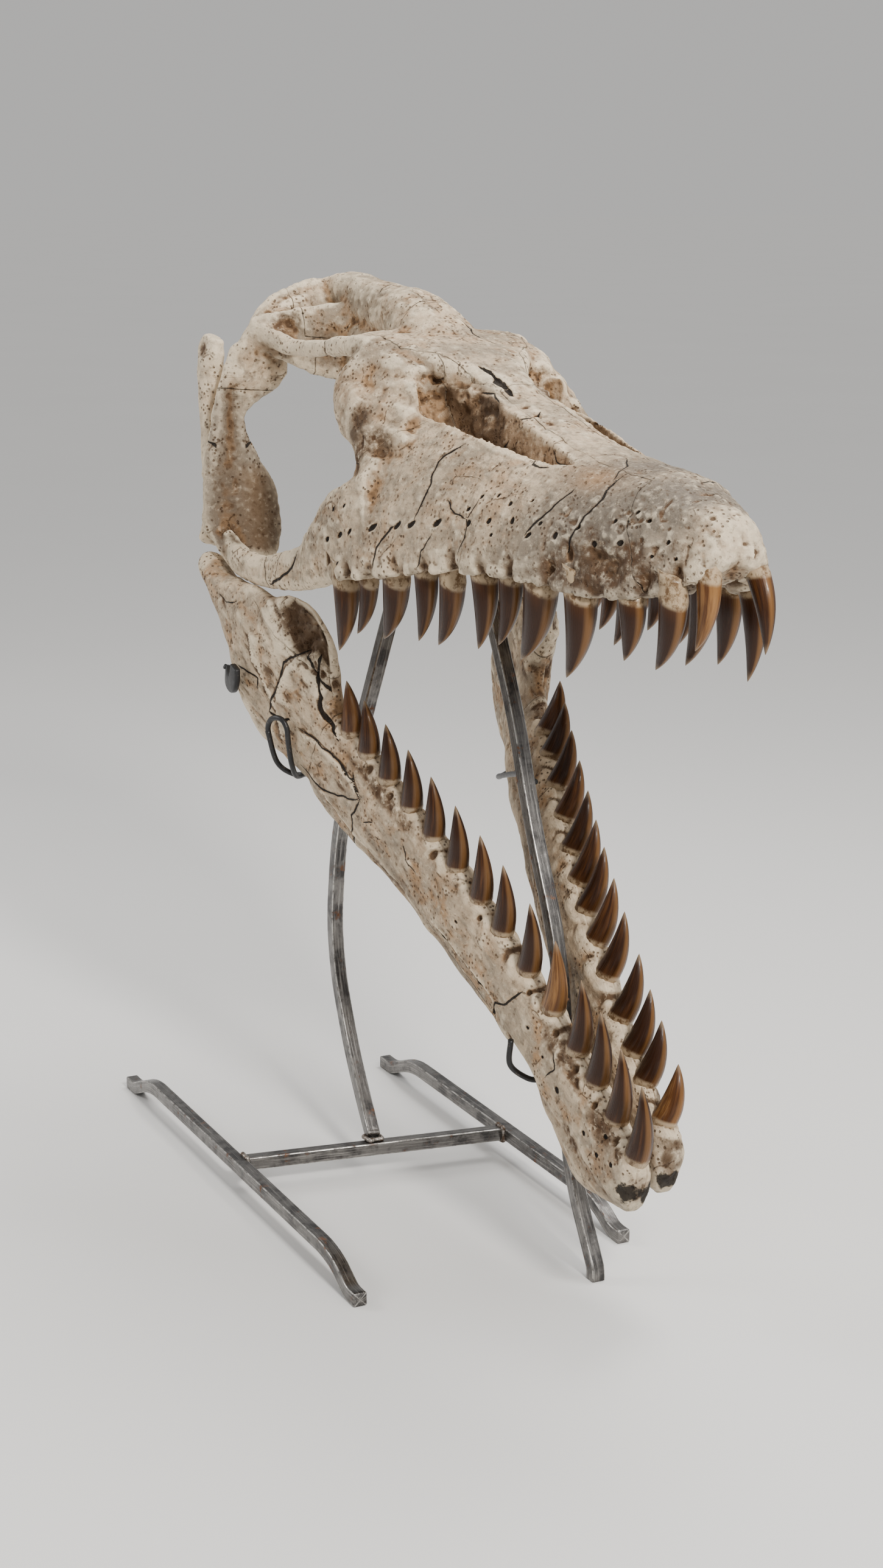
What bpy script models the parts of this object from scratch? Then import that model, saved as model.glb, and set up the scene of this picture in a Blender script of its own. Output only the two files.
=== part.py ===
"""A mosasaur skull with gaping jaws on its welded steel stand, built bone by bone at life size.

Metres, +Z up, the snout towards +X and the animal's left towards +Y. The origin is on the
floor under the middle of the whole piece. The bones of the cranium are laid out in skull
coordinates (along, aside, above): along runs forward from the jaw joints, aside to the left
and above from the plane of the upper tooth sockets. The mandible has jaw coordinates of the
same kind, which run down and forward from the joints.
"""

import math

import bmesh
import bpy
import numpy as np

# Driving dimensions
JOINT_X = -0.2723
JOINT_Y = 0.0230
JOINT_HEIGHT = 0.5464
CRANIUM_PITCH = math.radians(6.1)
JAW_DROP = math.radians(34.7)
SUTURE_GAP = 0.0003
STEEL_BAR = 0.012
TWIST = 0.32
TWIST_CENTRE = 0.28
TWIST_HEIGHT = 0.20
CRANIUM_TRIANGLES = 1900
SIDES = {"R": -1.0, "L": 1.0}

for old in list(bpy.data.objects):
    bpy.data.objects.remove(old)


# ---------------------------------------------------------------- shared shape functions


def turned(along, above, angle):
    """Pitches skull or jaw coordinates up by the angle about the line through the joints."""
    x = along * math.cos(angle) - above * math.sin(angle)
    z = along * math.sin(angle) + above * math.cos(angle)
    return x, z


def in_cranium(points):
    """Room coordinates of skull coordinates, with the slight twist that the rock gave the fossil."""
    points = np.asarray(points, float)
    along, aside, above = points[..., 0], points[..., 1], points[..., 2]
    above = above + aside * TWIST * (along - TWIST_CENTRE) * above / TWIST_HEIGHT
    x, z = turned(along, above, CRANIUM_PITCH)
    return np.stack([x + JOINT_X, aside + JOINT_Y, z + JOINT_HEIGHT], -1)


def in_jaw(points):
    points = np.asarray(points, float)
    x, z = turned(points[..., 0], points[..., 2], -JAW_DROP)
    return np.stack([x + JOINT_X, points[..., 1] + JOINT_Y, z + JOINT_HEIGHT], -1)


def smooth_path(rows, steps):
    """Catmull-Rom curve through the rows, with this many steps between one row and the next."""
    rows = np.asarray(rows, float)
    ends = np.vstack([2 * rows[0] - rows[1], rows, 2 * rows[-1] - rows[-2]])
    pieces = []
    for k in range(len(rows) - 1):
        a, b, c, d = ends[k : k + 4]
        t = np.linspace(0, 1, steps, endpoint=False)[:, None]
        pieces.append(
            0.5 * (2 * b + (c - a) * t + (2 * a - 5 * b + 4 * c - d) * t**2
                   + (3 * b - a - 3 * c + d) * t**3)
        )
    pieces.append(rows[-1:])
    return np.vstack(pieces)


def unit(vectors):
    return vectors / np.linalg.norm(vectors, axis=-1, keepdims=True)


def oval_rings(rows, depth_way, sides=12, steps=3, power=2.2):
    """Rings of a limb of bone. Each row is along, aside, above, half width, half depth."""
    rows = smooth_path(rows, steps)
    path = rows[:, :3]
    ahead = unit(np.gradient(path, axis=0))
    depth = np.asarray(depth_way, float) - (ahead @ depth_way)[:, None] * ahead
    depth = unit(depth)
    width = np.cross(depth, ahead)
    turn = np.linspace(0, 2 * math.pi, sides, endpoint=False)
    across = np.sign(np.cos(turn)) * np.abs(np.cos(turn)) ** (2 / power)
    down = np.sign(np.sin(turn)) * np.abs(np.sin(turn)) ** (2 / power)
    return (
        path[:, None]
        + rows[:, None, 3:4] * across[None, :, None] * width[:, None]
        + rows[:, None, 4:5] * down[None, :, None] * depth[:, None]
    )


def closed_mesh(name, rings, place):
    """Skins the rings one to the next, closes both ends and turns every face outwards."""
    shape = bmesh.new()
    loops = [[shape.verts.new(p) for p in place(ring)] for ring in rings]
    for first, second in zip(loops, loops[1:]):
        for k in range(len(first)):
            nxt = (k + 1) % len(first)
            shape.faces.new((first[k], first[nxt], second[nxt], second[k]))
    shape.faces.new(loops[0][::-1])
    shape.faces.new(loops[-1])
    bmesh.ops.recalc_face_normals(shape, faces=shape.faces)
    bmesh.ops.triangulate(shape, faces=shape.faces)
    mesh = bpy.data.meshes.new(name)
    shape.to_mesh(mesh)
    shape.free()
    return mesh


def new_object(name, mesh):
    thing = bpy.data.objects.new(name, mesh)
    bpy.context.scene.collection.objects.link(thing)
    return thing


def baked(thing):
    """Replaces an object's mesh by what its modifiers make of it."""
    bpy.context.view_layer.update()
    graph = bpy.context.evaluated_depsgraph_get()
    mesh = bpy.data.meshes.new_from_object(thing.evaluated_get(graph))
    thing.modifiers.clear()
    thing.data = mesh
    return thing


def joined(name, meshes):
    """One object that holds all of the meshes, overlapping as they lie."""
    shape = bmesh.new()
    for mesh in meshes:
        shape.from_mesh(mesh)
    mesh = bpy.data.meshes.new(name)
    shape.to_mesh(mesh)
    shape.free()
    return new_object(name, mesh)


def fused(thing, cell, smoothing=4):
    """Melts overlapping limbs into one bone surface."""
    remesh = thing.modifiers.new("melt", "REMESH")
    remesh.mode = "VOXEL"
    remesh.voxel_size = cell
    smooth = thing.modifiers.new("soften", "SMOOTH")
    smooth.factor = 0.5
    smooth.iterations = smoothing
    return baked(thing)


def thinned(thing, triangles):
    """Thins a fused bone surface to about this many triangles."""
    thing.data.calc_loop_triangles()
    thin = thing.modifiers.new("thin", "DECIMATE")
    thin.ratio = triangles / len(thing.data.loop_triangles)
    thin.use_collapse_triangulate = True
    return baked(thing)


# ---------------------------------------------------------------- cranium, one fused whole

# along, half width at the gum, height of the gum, height of the roof, squareness of the arch
MUZZLE = (
    (0.677, 0.013, 0.014, 0.026, 2.0),
    (0.671, 0.024, 0.006, 0.040, 2.2),
    (0.657, 0.034, -0.003, 0.051, 2.3),
    (0.632, 0.046, -0.010, 0.062, 2.4),
    (0.595, 0.061, -0.011, 0.075, 2.4),
    (0.552, 0.076, -0.009, 0.082, 2.3),
    (0.510, 0.087, -0.001, 0.090, 2.1),
    (0.445, 0.102, 0.004, 0.110, 1.9),
    (0.370, 0.118, 0.003, 0.138, 1.9),
    (0.300, 0.129, -0.002, 0.160, 1.85),
    (0.255, 0.132, -0.004, 0.168, 1.9),
    (0.236, 0.120, 0.010, 0.164, 1.8),
)
GUM_THICKNESS = 0.028
VAULT_DEPTH = 0.022


def muzzle_ring(half_width, gum, roof, squareness, arch_points=19):
    """Arch over the snout in (aside, above), then the vaulted palate back between the gums."""
    turn = np.linspace(0, math.pi, arch_points)
    across = half_width * np.sign(np.cos(turn)) * np.abs(np.cos(turn)) ** (2 / squareness)
    above = gum + (roof - gum) * np.sin(turn) ** (2 / squareness)
    inner = half_width - min(GUM_THICKNESS, 0.45 * half_width)
    vault_across = np.array([-inner, -0.6 * inner, 0.0, 0.6 * inner, inner])
    vault_above = gum + VAULT_DEPTH * (half_width / MUZZLE[-1][1]) * np.array([0, 0.8, 1, 0.8, 0])
    return np.concatenate([across, vault_across]), np.concatenate([above, vault_above])


def muzzle_mesh():
    rings = []
    for along, half_width, gum, roof, squareness in smooth_path(MUZZLE, 2):
        across, above = muzzle_ring(half_width, gum, roof, squareness)
        rings.append(np.stack([np.full_like(across, along), across, above], -1))
    return closed_mesh("muzzle", rings, in_cranium)


# Each row of these limbs is along, aside, above, half width, half depth
FRONTAL = (
    (0.350, 0, 0.136, 0.018, 0.010),
    (0.310, 0, 0.155, 0.028, 0.012),
    (0.280, 0, 0.168, 0.046, 0.013),
    (0.240, 0, 0.182, 0.066, 0.013),
    (0.205, 0, 0.191, 0.075, 0.012),
    (0.185, 0, 0.194, 0.072, 0.011),
)
PARIETAL = (
    (0.225, 0, 0.186, 0.036, 0.016),
    (0.190, 0, 0.196, 0.034, 0.028),
    (0.150, 0, 0.213, 0.028, 0.029),
    (0.100, 0, 0.226, 0.024, 0.026),
    (0.050, 0, 0.240, 0.023, 0.022),
    (0.020, 0, 0.248, 0.022, 0.019),
    (-0.006, 0, 0.251, 0.020, 0.012),
)
BRAINCASE = (
    (0.190, 0, 0.175, 0.022, 0.030),
    (0.140, 0, 0.165, 0.027, 0.055),
    (0.090, 0, 0.178, 0.030, 0.045),
    (0.055, 0, 0.195, 0.028, 0.034),
    (0.032, 0, 0.200, 0.026, 0.028),
)
PREFRONTAL = (
    (0.222, 0.060, 0.182, 0.024, 0.014),
    (0.216, 0.076, 0.166, 0.024, 0.018),
    (0.212, 0.086, 0.147, 0.026, 0.019),
    (0.232, 0.090, 0.132, 0.026, 0.020),
    (0.258, 0.094, 0.115, 0.022, 0.018),
    (0.268, 0.099, 0.092, 0.022, 0.015),
    (0.276, 0.101, 0.076, 0.018, 0.014),
)
FLANK = (
    (0.205, 0.060, 0.170, 0.013, 0.014),
    (0.235, 0.058, 0.158, 0.016, 0.022),
    (0.258, 0.054, 0.148, 0.014, 0.022),
    (0.276, 0.050, 0.140, 0.008, 0.014),
)
CHEEK = (
    (0.300, 0.112, 0.045, 0.012, 0.045),
    (0.250, 0.120, 0.034, 0.012, 0.040),
    (0.210, 0.123, 0.017, 0.011, 0.029),
    (0.180, 0.124, 0.006, 0.010, 0.021),
    (0.150, 0.126, 0.001, 0.010, 0.018),
    (0.085, 0.130, -0.001, 0.010, 0.014),
    (0.035, 0.132, 0.008, 0.009, 0.014),
    (0.006, 0.134, 0.022, 0.008, 0.014),
)
JUGAL_BLADE = (
    (0.014, 0.090, 0.208, 0.016, 0.012),
    (0.006, 0.093, 0.181, 0.028, 0.009),
    (0.000, 0.120, 0.144, 0.016, 0.007),
    (0.000, 0.124, 0.120, 0.019, 0.006),
    (0.000, 0.124, 0.098, 0.027, 0.006),
    (0.000, 0.121, 0.076, 0.034, 0.006),
    (0.000, 0.116, 0.053, 0.040, 0.006),
    (0.002, 0.115, 0.029, 0.038, 0.006),
    (0.012, 0.118, 0.008, 0.028, 0.006),
)
TEMPORAL_BAR = (
    (0.215, 0.068, 0.189, 0.012, 0.009),
    (0.170, 0.077, 0.190, 0.007, 0.008),
    (0.120, 0.077, 0.190, 0.007, 0.008),
    (0.060, 0.080, 0.193, 0.008, 0.008),
    (0.014, 0.092, 0.207, 0.014, 0.013),
)
PARIETAL_RAMUS = (
    (0.004, 0.000, 0.252, 0.011, 0.011),
    (0.000, 0.030, 0.249, 0.008, 0.009),
    (0.000, 0.060, 0.239, 0.008, 0.008),
    (0.004, 0.083, 0.223, 0.009, 0.009),
    (0.014, 0.092, 0.206, 0.012, 0.012),
)
PAROCCIPITAL = (
    (0.056, 0.012, 0.200, 0.012, 0.036),
    (0.042, 0.035, 0.201, 0.010, 0.035),
    (0.034, 0.060, 0.203, 0.009, 0.029),
    (0.024, 0.082, 0.205, 0.009, 0.021),
    (0.012, 0.100, 0.206, 0.009, 0.013),
)
QUADRATE = (
    (-0.022, 0.124, 0.200, 0.010, 0.008),
    (-0.026, 0.127, 0.186, 0.016, 0.011),
    (-0.028, 0.130, 0.150, 0.015, 0.010),
    (-0.028, 0.130, 0.110, 0.014, 0.010),
    (-0.026, 0.131, 0.070, 0.012, 0.010),
    (-0.021, 0.134, 0.040, 0.011, 0.012),
    (-0.015, 0.139, 0.023, 0.010, 0.014),
)
PTERYGOID = (
    (0.140, 0.010, 0.125, 0.012, 0.016),
    (0.190, 0.026, 0.080, 0.013, 0.012),
    (0.270, 0.050, 0.040, 0.018, 0.012),
)
NARIS = (
    (0.284, 0.053, 0.157, 0.009, 0.016),
    (0.302, 0.053, 0.152, 0.016, 0.032),
    (0.330, 0.048, 0.147, 0.019, 0.042),
    (0.390, 0.043, 0.125, 0.016, 0.045),
    (0.450, 0.038, 0.110, 0.011, 0.035),
    (0.500, 0.033, 0.105, 0.004, 0.018),
)
UPRIGHT = (0, 0, 1)
FORWARD = (1, 0, 0)
SIDEWAYS = (0, 1, 0)


def limb(name, rows, depth_way, side=1.0, **shape):
    rows = np.asarray(rows, float).copy()
    rows[:, 1] *= side
    return closed_mesh(name, oval_rings(rows, depth_way, **shape), in_cranium)


def hidden_cutter(thing):
    thing.hide_render = True
    thing.display_type = "WIRE"
    return thing


def carved(thing, cutter, operation, solver="EXACT"):
    """Cuts the thing with a hidden cutter, or joins or keeps what the two share."""
    cut = thing.modifiers.new(operation.lower(), "BOOLEAN")
    cut.operation = operation
    cut.solver = solver
    cut.object = hidden_cutter(cutter)
    return baked(thing)


def discarded(*things):
    for thing in things:
        bpy.data.objects.remove(thing)


def cranium_whole():
    limbs = [
        muzzle_mesh(),
        limb("frontal", FRONTAL, UPRIGHT, power=3.0),
        limb("parietal", PARIETAL, UPRIGHT),
        limb("braincase", BRAINCASE, UPRIGHT),
    ]
    for side in SIDES.values():
        limbs += [
            limb("prefrontal", PREFRONTAL, SIDEWAYS, side),
            limb("flank", FLANK, UPRIGHT, side),
            limb("cheek", CHEEK, UPRIGHT, side),
            limb("jugal_blade", JUGAL_BLADE, FORWARD, side),
            limb("temporal_bar", TEMPORAL_BAR, UPRIGHT, side),
            limb("parietal_ramus", PARIETAL_RAMUS, UPRIGHT, side),
            limb("paroccipital", PAROCCIPITAL, UPRIGHT, side),
            limb("pterygoid", PTERYGOID, UPRIGHT, side),
        ]
    whole = fused(joined("cranium", limbs), cell=0.004)
    for side in SIDES.values():
        hole = new_object("naris_cutter", limb("naris", NARIS, UPRIGHT, side))
        carved(whole, hole, "DIFFERENCE", "MANIFOLD")
        discarded(hole)
    return thinned(whole, CRANIUM_TRIANGLES)


# ---------------------------------------------------------------- sutures part the cranium

FAR = 0.30
CHEEK_LINE = 0.040


def prism(name, corners, low, high, seen_from):
    """A block with this outline: (along, above) seen from the side, (along, aside) from above."""
    rings = []
    for reach in (low, high):
        if seen_from == "side":
            rings.append([(along, reach, above) for along, above in corners])
        else:
            rings.append([(along, aside, reach) for along, aside in corners])
    return new_object(name, closed_mesh(name, np.asarray(rings, float), in_cranium))


def fattened(thing, by):
    """A copy of a block with every face moved out by the same distance."""
    shape = bmesh.new()
    shape.from_mesh(thing.data)
    shape.normal_update()
    moves = [vert.normal * vert.calc_shell_factor() * by for vert in shape.verts]
    for vert, move in zip(shape.verts, moves):
        vert.co += move
    mesh = bpy.data.meshes.new(thing.name)
    shape.to_mesh(mesh)
    shape.free()
    return new_object(thing.name + "_wide", mesh)


def largest_piece(thing):
    """Drops the crumbs that a cut leaves beside the bone itself."""
    shape = bmesh.new()
    shape.from_mesh(thing.data)
    islands, seen = [], set()
    for start in shape.verts:
        if start in seen:
            continue
        island, edge_of = [], [start]
        seen.add(start)
        while edge_of:
            vert = edge_of.pop()
            island.append(vert)
            for edge in vert.link_edges:
                other = edge.other_vert(vert)
                if other not in seen:
                    seen.add(other)
                    edge_of.append(other)
        islands.append(island)
    islands.sort(key=len)
    for island in islands[:-1]:
        bmesh.ops.delete(shape, geom=island, context="VERTS")
    shape.to_mesh(thing.data)
    shape.free()
    return thing


def copied(thing, name):
    return new_object(name, thing.data.copy())


def parted(whole, name, *blocks):
    """Takes the bone inside the blocks out of the whole, and leaves a suture's gap round it."""
    region, *others = blocks
    gap = fattened(region, SUTURE_GAP)
    for block in others:
        carved(region, block, "UNION")
        wider = fattened(block, SUTURE_GAP)
        carved(gap, wider, "UNION")
        discarded(block, wider)
    bone = largest_piece(carved(copied(whole, name), region, "INTERSECT", "MANIFOLD"))
    carved(whole, gap, "DIFFERENCE", "MANIFOLD")
    discarded(region, gap)
    return bone


def beside(side, near, far):
    """Low and high reach of a block that lies between two distances to one side."""
    return sorted((side * near, side * far))


def part_cranium(whole):
    bones = {}
    bones["premaxilla"] = parted(
        whole, "premaxilla",
        prism("snout", [(0.635, -0.05), (0.75, -0.05), (0.75, 0.15), (0.565, 0.15)], -FAR, FAR, "side"),
        prism("bar", [(0.345, -0.017), (0.62, -0.021), (0.62, 0.021), (0.345, 0.017)], 0.055, 0.25, "top"),
    )
    bones["frontal"] = parted(
        whole, "frontal",
        prism("roof", [(0.188, -0.066), (0.250, -0.060), (0.285, -0.034), (0.365, -0.012), (0.365, 0.012),
                       (0.285, 0.034), (0.250, 0.060), (0.188, 0.066)], 0.150, 0.25, "top"),
    )
    for name, side in SIDES.items():
        low, high = beside(side, CHEEK_LINE, 0.14)
        bones["prefrontal_" + name] = parted(
            whole, "prefrontal_" + name,
            prism("lacrimal", [(0.178, 0.100), (0.262, 0.092), (0.315, 0.125), (0.30, 0.22), (0.186, 0.22)],
                  low, high, "side"),
        )
    bones["parietal"] = parted(
        whole, "parietal",
        prism("crown", [(-0.05, 0.212), (0.19, 0.190), (0.1897, 0.30), (-0.05, 0.30)], -0.06, 0.06, "side"),
    )
    for name, side in SIDES.items():
        low, high = beside(side, 0.052, 0.2)
        bones["postorbital_" + name] = parted(
            whole, "postorbital_" + name,
            prism("arcade", [(-0.06, 0.155), (0.16, 0.155), (0.22, 0.172), (0.22, 0.28), (-0.06, 0.28)],
                  low, high, "side"),
        )
        low, high = beside(side, 0.055, 0.2)
        bones["jugal_" + name] = parted(
            whole, "jugal_" + name,
            prism("cheekbone", [(-0.06, -0.06), (0.165, -0.06), (0.205, 0.07), (0.10, 0.1547), (-0.06, 0.1547)],
                  low, high, "side"),
        )
        low, high = beside(side, SUTURE_GAP, 0.095)
        bones["pterygoid_" + name] = parted(
            whole, "pterygoid_" + name,
            prism("pterygoid", [(0.10, -0.02), (0.232, -0.02), (0.232, 0.10), (0.10, 0.118)], low, high, "side"),
        )
    bones["braincase"] = parted(
        whole, "braincase",
        prism("brain", [(-0.06, 0.10), (0.215, 0.10), (0.215, 0.24), (-0.06, 0.24)], -0.13, 0.13, "side"),
    )
    bones["palate"] = parted(
        whole, "palate",
        prism("palate", [(0.20, -0.088), (0.45, -0.060), (0.60, -0.022), (0.60, 0.022), (0.45, 0.060),
                         (0.20, 0.088)], -0.05, 0.045, "top"),
    )
    for name, side in SIDES.items():
        low, high = beside(side, SUTURE_GAP / 2, FAR)
        bones["maxilla_" + name] = parted(
            whole, "maxilla_" + name,
            prism("half", [(0.15, -0.1), (0.75, -0.1), (0.75, 0.3), (0.15, 0.3)], low, high, "side"),
        )
    discarded(whole)
    return bones


bones = part_cranium(cranium_whole())


# ---------------------------------------------------------------- mandible

# along, aside of the middle line, half width, upper edge, lower edge
RAMUS = (
    (-0.018, 0.146, 0.006, 0.003, -0.006),
    (-0.009, 0.145, 0.012, 0.006, -0.011),
    (0.020, 0.143, 0.014, 0.011, -0.013),
    (0.045, 0.140, 0.016, 0.024, -0.026),
    (0.073, 0.137, 0.017, 0.043, -0.046),
    (0.100, 0.133, 0.018, 0.056, -0.070),
    (0.122, 0.128, 0.018, 0.076, -0.081),
    (0.149, 0.121, 0.017, 0.086, -0.084),
    (0.178, 0.111, 0.016, 0.072, -0.079),
    (0.200, 0.105, 0.016, 0.034, -0.075),
    (0.213, 0.101, 0.016, 0.020, -0.074),
    (0.228, 0.097, 0.016, 0.018, -0.083),
    (0.280, 0.083, 0.016, 0.016, -0.083),
    (0.335, 0.069, 0.0165, 0.014, -0.074),
    (0.446, 0.044, 0.0165, 0.010, -0.074),
    (0.530, 0.031, 0.017, 0.007, -0.069),
    (0.605, 0.0218, 0.0165, 0.004, -0.080),
    (0.655, 0.0195, 0.0165, 0.002, -0.088),
    (0.688, 0.0185, 0.0155, 0.004, -0.070),
    (0.706, 0.0180, 0.0145, 0.002, -0.057),
    (0.716, 0.0170, 0.011, -0.012, -0.050),
    (0.721, 0.0165, 0.006, -0.022, -0.042),
)
JAW_LENGTH = {"R": 1.0, "L": 0.985}
ANGLE_DEPTH = {"R": 1.0, "L": 1.12}
ANGLE_ENDS = 0.215
RAMUS_SIDES = 8
INTRAMANDIBULAR_JOINT = ((0.12, 0.20), (0.208, 0.20), (0.218, -0.075), (0.214, -0.20), (0.12, -0.20))
CORONOID_SEAT = ((0.085, 0.041), (0.206, 0.044), (0.206, 0.15), (0.085, 0.15))


def ramus_mesh(name, side):
    """Upright oval sections, one behind the other; the left jaw is shorter, and deeper behind."""
    rows = np.asarray(RAMUS, float) * (JAW_LENGTH[name], 1, 1, 1, 1)
    rows[rows[:, 0] < ANGLE_ENDS, 4] *= ANGLE_DEPTH[name]
    turn = np.linspace(0, 2 * math.pi, RAMUS_SIDES, endpoint=False)
    across = np.cos(turn)
    upward = np.sign(np.sin(turn)) * np.abs(np.sin(turn)) ** 0.8
    along, aside, half, upper, lower = rows.T
    rings = np.stack([
        np.repeat(along[:, None], RAMUS_SIDES, 1),
        side * (aside[:, None] + half[:, None] * across),
        (upper + lower)[:, None] / 2 + (upper - lower)[:, None] / 2 * upward,
    ], -1)
    return closed_mesh("ramus", rings, in_jaw)


def jaw_prism(corners, side):
    low, high = beside(side, 0, 0.2)
    rings = [[(along, reach, above) for along, above in corners] for reach in (low, high)]
    return new_object("jaw_block", closed_mesh("jaw_block", np.asarray(rings, float), in_jaw))


for name, side in SIDES.items():
    ramus = new_object("ramus", ramus_mesh(name, side))
    bones["coronoid_" + name] = parted(ramus, "coronoid_" + name, jaw_prism(CORONOID_SEAT, side))
    rear = INTRAMANDIBULAR_JOINT[1:4] + ((-0.05, -0.20), (-0.05, 0.20))
    bones["surangular_" + name] = parted(ramus, "surangular_" + name, jaw_prism(rear, side))
    bones["dentary_" + name] = ramus
    bones["quadrate_" + name] = new_object(
        "quadrate_" + name, limb("quadrate", QUADRATE, SIDEWAYS, side, sides=8, steps=2))


# ---------------------------------------------------------------- teeth, each grown into its jaw

# along, aside and above at the gum, along and above at the tip, then half the length at the gum
UPPER_TEETH = {
    "R": (
        (0.251, 0.122, -0.005, 0.229, -0.065, 0.0137),
        (0.289, 0.117, -0.003, 0.258, -0.050, 0.0098),
        (0.328, 0.110, 0.000, 0.297, -0.053, 0.0140),
        (0.372, 0.104, 0.006, 0.352, -0.053, 0.0119),
        (0.404, 0.096, 0.000, 0.372, -0.056, 0.0130),
        (0.444, 0.088, 0.004, 0.428, -0.057, 0.0130),
        (0.476, 0.081, 0.004, 0.450, -0.053, 0.0116),
        (0.509, 0.072, 0.000, 0.470, -0.064, 0.0165),
        (0.552, 0.062, -0.008, 0.524, -0.076, 0.0153),
        (0.602, 0.047, -0.011, 0.587, -0.060, 0.0125),
    ),
    "L": (
        (0.250, 0.122, -0.005, 0.230, -0.055, 0.0120),
        (0.288, 0.117, -0.003, 0.256, -0.065, 0.0125),
        (0.326, 0.111, 0.000, 0.292, -0.076, 0.0140),
        (0.364, 0.105, 0.005, 0.334, -0.058, 0.0120),
        (0.402, 0.097, 0.002, 0.375, -0.057, 0.0130),
        (0.440, 0.089, 0.004, 0.412, -0.060, 0.0120),
        (0.476, 0.081, 0.003, 0.449, -0.064, 0.0130),
        (0.513, 0.071, -0.002, 0.478, -0.077, 0.0150),
        (0.574, 0.053, -0.010, 0.556, -0.070, 0.0130),
    ),
}
PREMAXILLARY_TEETH = {
    "R": ((0.641, 0.035, -0.010, 0.612, -0.066, 0.0130), (0.664, 0.019, 0.006, 0.642, -0.051, 0.0110)),
    "L": ((0.635, 0.035, -0.010, 0.626, -0.077, 0.0115), (0.666, 0.021, 0.004, 0.673, -0.054, 0.0105)),
}
LOWER_TEETH_ALONG = {
    "R": (0.233, 0.259, 0.290, 0.323, 0.357, 0.393, 0.429, 0.464, 0.507, 0.548, 0.590, 0.623, 0.660, 0.698),
    "L": (0.256, 0.283, 0.318, 0.355, 0.391, 0.425, 0.456, 0.489, 0.524, 0.567, 0.601, 0.630, 0.670),
}
LOWER_TIP_ABOVE = {
    "R": ((0.22, 0.054), (0.45, 0.062)),
    "L": ((0.22, 0.052), (0.45, 0.059), (0.58, 0.053), (0.69, 0.038)),
}
LOWER_TIP_BACK = 0.024
LOWER_TIP_OUT = {"R": 0.006, "L": 0.011}
GUM_SINK = 0.003
LOWER_TOOTH_HALF_LENGTH = 0.0122
TOOTH_FLATNESS = 0.8
TOOTH_SIDES = 6
TOOTH_ROOT = 0.30
TOOTH_STATIONS = ((-TOOTH_ROOT, 1.0), (0.48, 0.80), (1.0, 0.07))
TOOTH_BULGE = 0.11


def tooth_mesh(base, tip, half_length, place):
    """A recurved cone from inside its socket to the tip, bowed forward in the middle."""
    base, tip = np.asarray(base, float), np.asarray(tip, float)
    reach = tip - base
    forward = np.array([1.0, 0, 0]) - reach * reach[0] / (reach @ reach)
    forward = unit(forward)
    lateral = unit(np.cross(forward, reach))
    turn = np.linspace(0, 2 * math.pi, TOOTH_SIDES, endpoint=False)
    rings = []
    for station, size in TOOTH_STATIONS:
        bow = TOOTH_BULGE * np.linalg.norm(reach) * 4 * station * (1 - station)
        centre = base + station * reach + bow * forward
        rings.append(
            centre
            + size * half_length * np.cos(turn)[:, None] * forward
            + size * TOOTH_FLATNESS * half_length * np.sin(turn)[:, None] * lateral
        )
    return closed_mesh("tooth", np.asarray(rings), place)


def planted(bone, teeth):
    for mesh in teeth:
        tooth = new_object("tooth", mesh)
        carved(bone, tooth, "UNION", "MANIFOLD")
        discarded(tooth)


def upper_tooth(row, side):
    along, aside, above, tip_along, tip_above, half_length = row
    tip = (tip_along, side * aside, tip_above)
    return tooth_mesh((along, side * aside, above), tip, half_length, in_cranium)


def lower_tooth(along, name, side):
    columns = np.asarray(RAMUS, float).T
    aside = np.interp(along, columns[0], columns[1])
    gum = np.interp(along, columns[0], columns[3]) - GUM_SINK
    above = np.interp(along, *np.transpose(LOWER_TIP_ABOVE[name]))
    tip = (along - LOWER_TIP_BACK, side * (aside + LOWER_TIP_OUT[name]), above)
    return tooth_mesh((along, side * aside, gum), tip, LOWER_TOOTH_HALF_LENGTH, in_jaw)


for name, side in SIDES.items():
    planted(bones["maxilla_" + name], [upper_tooth(row, side) for row in UPPER_TEETH[name]])
    planted(bones["premaxilla"], [upper_tooth(row, side) for row in PREMAXILLARY_TEETH[name]])
    planted(bones["dentary_" + name], [lower_tooth(along, name, side) for along in LOWER_TEETH_ALONG[name]])


# ---------------------------------------------------------------- welded steel stand

# (along, aside, above the floor) of each bar's middle line, from the line through the joints
BAR_LOW = STEEL_BAR / 2
RAIL = 0.025
FOOT_BARS = {
    "R": ((-0.132, -0.197, BAR_LOW), (-0.112, -0.197, BAR_LOW), (-0.064, -0.197, RAIL),
          (0.368, -0.197, RAIL), (0.394, -0.197, 0.020), (0.420, -0.197, BAR_LOW), (0.438, -0.197, BAR_LOW)),
    "L": ((-0.076, 0.060, BAR_LOW), (-0.054, 0.060, BAR_LOW), (-0.004, 0.060, RAIL),
          (0.349, 0.060, RAIL), (0.378, 0.060, 0.019), (0.404, 0.060, BAR_LOW), (0.422, 0.060, BAR_LOW)),
}
CROSSBAR = ((0.165, -0.1897, RAIL), (0.200, 0.0527, RAIL))
POST = ((0.178, -0.068, 0.0340), (0.156, -0.064, 0.048), (0.113, -0.060, 0.095), (0.082, -0.060, 0.162),
        (0.074, -0.060, 0.214), (0.082, -0.058, 0.301), (0.108, -0.052, 0.383), (0.143, -0.048, 0.459),
        (0.168, -0.044, 0.517), (0.212, -0.040, 0.604))
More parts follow.
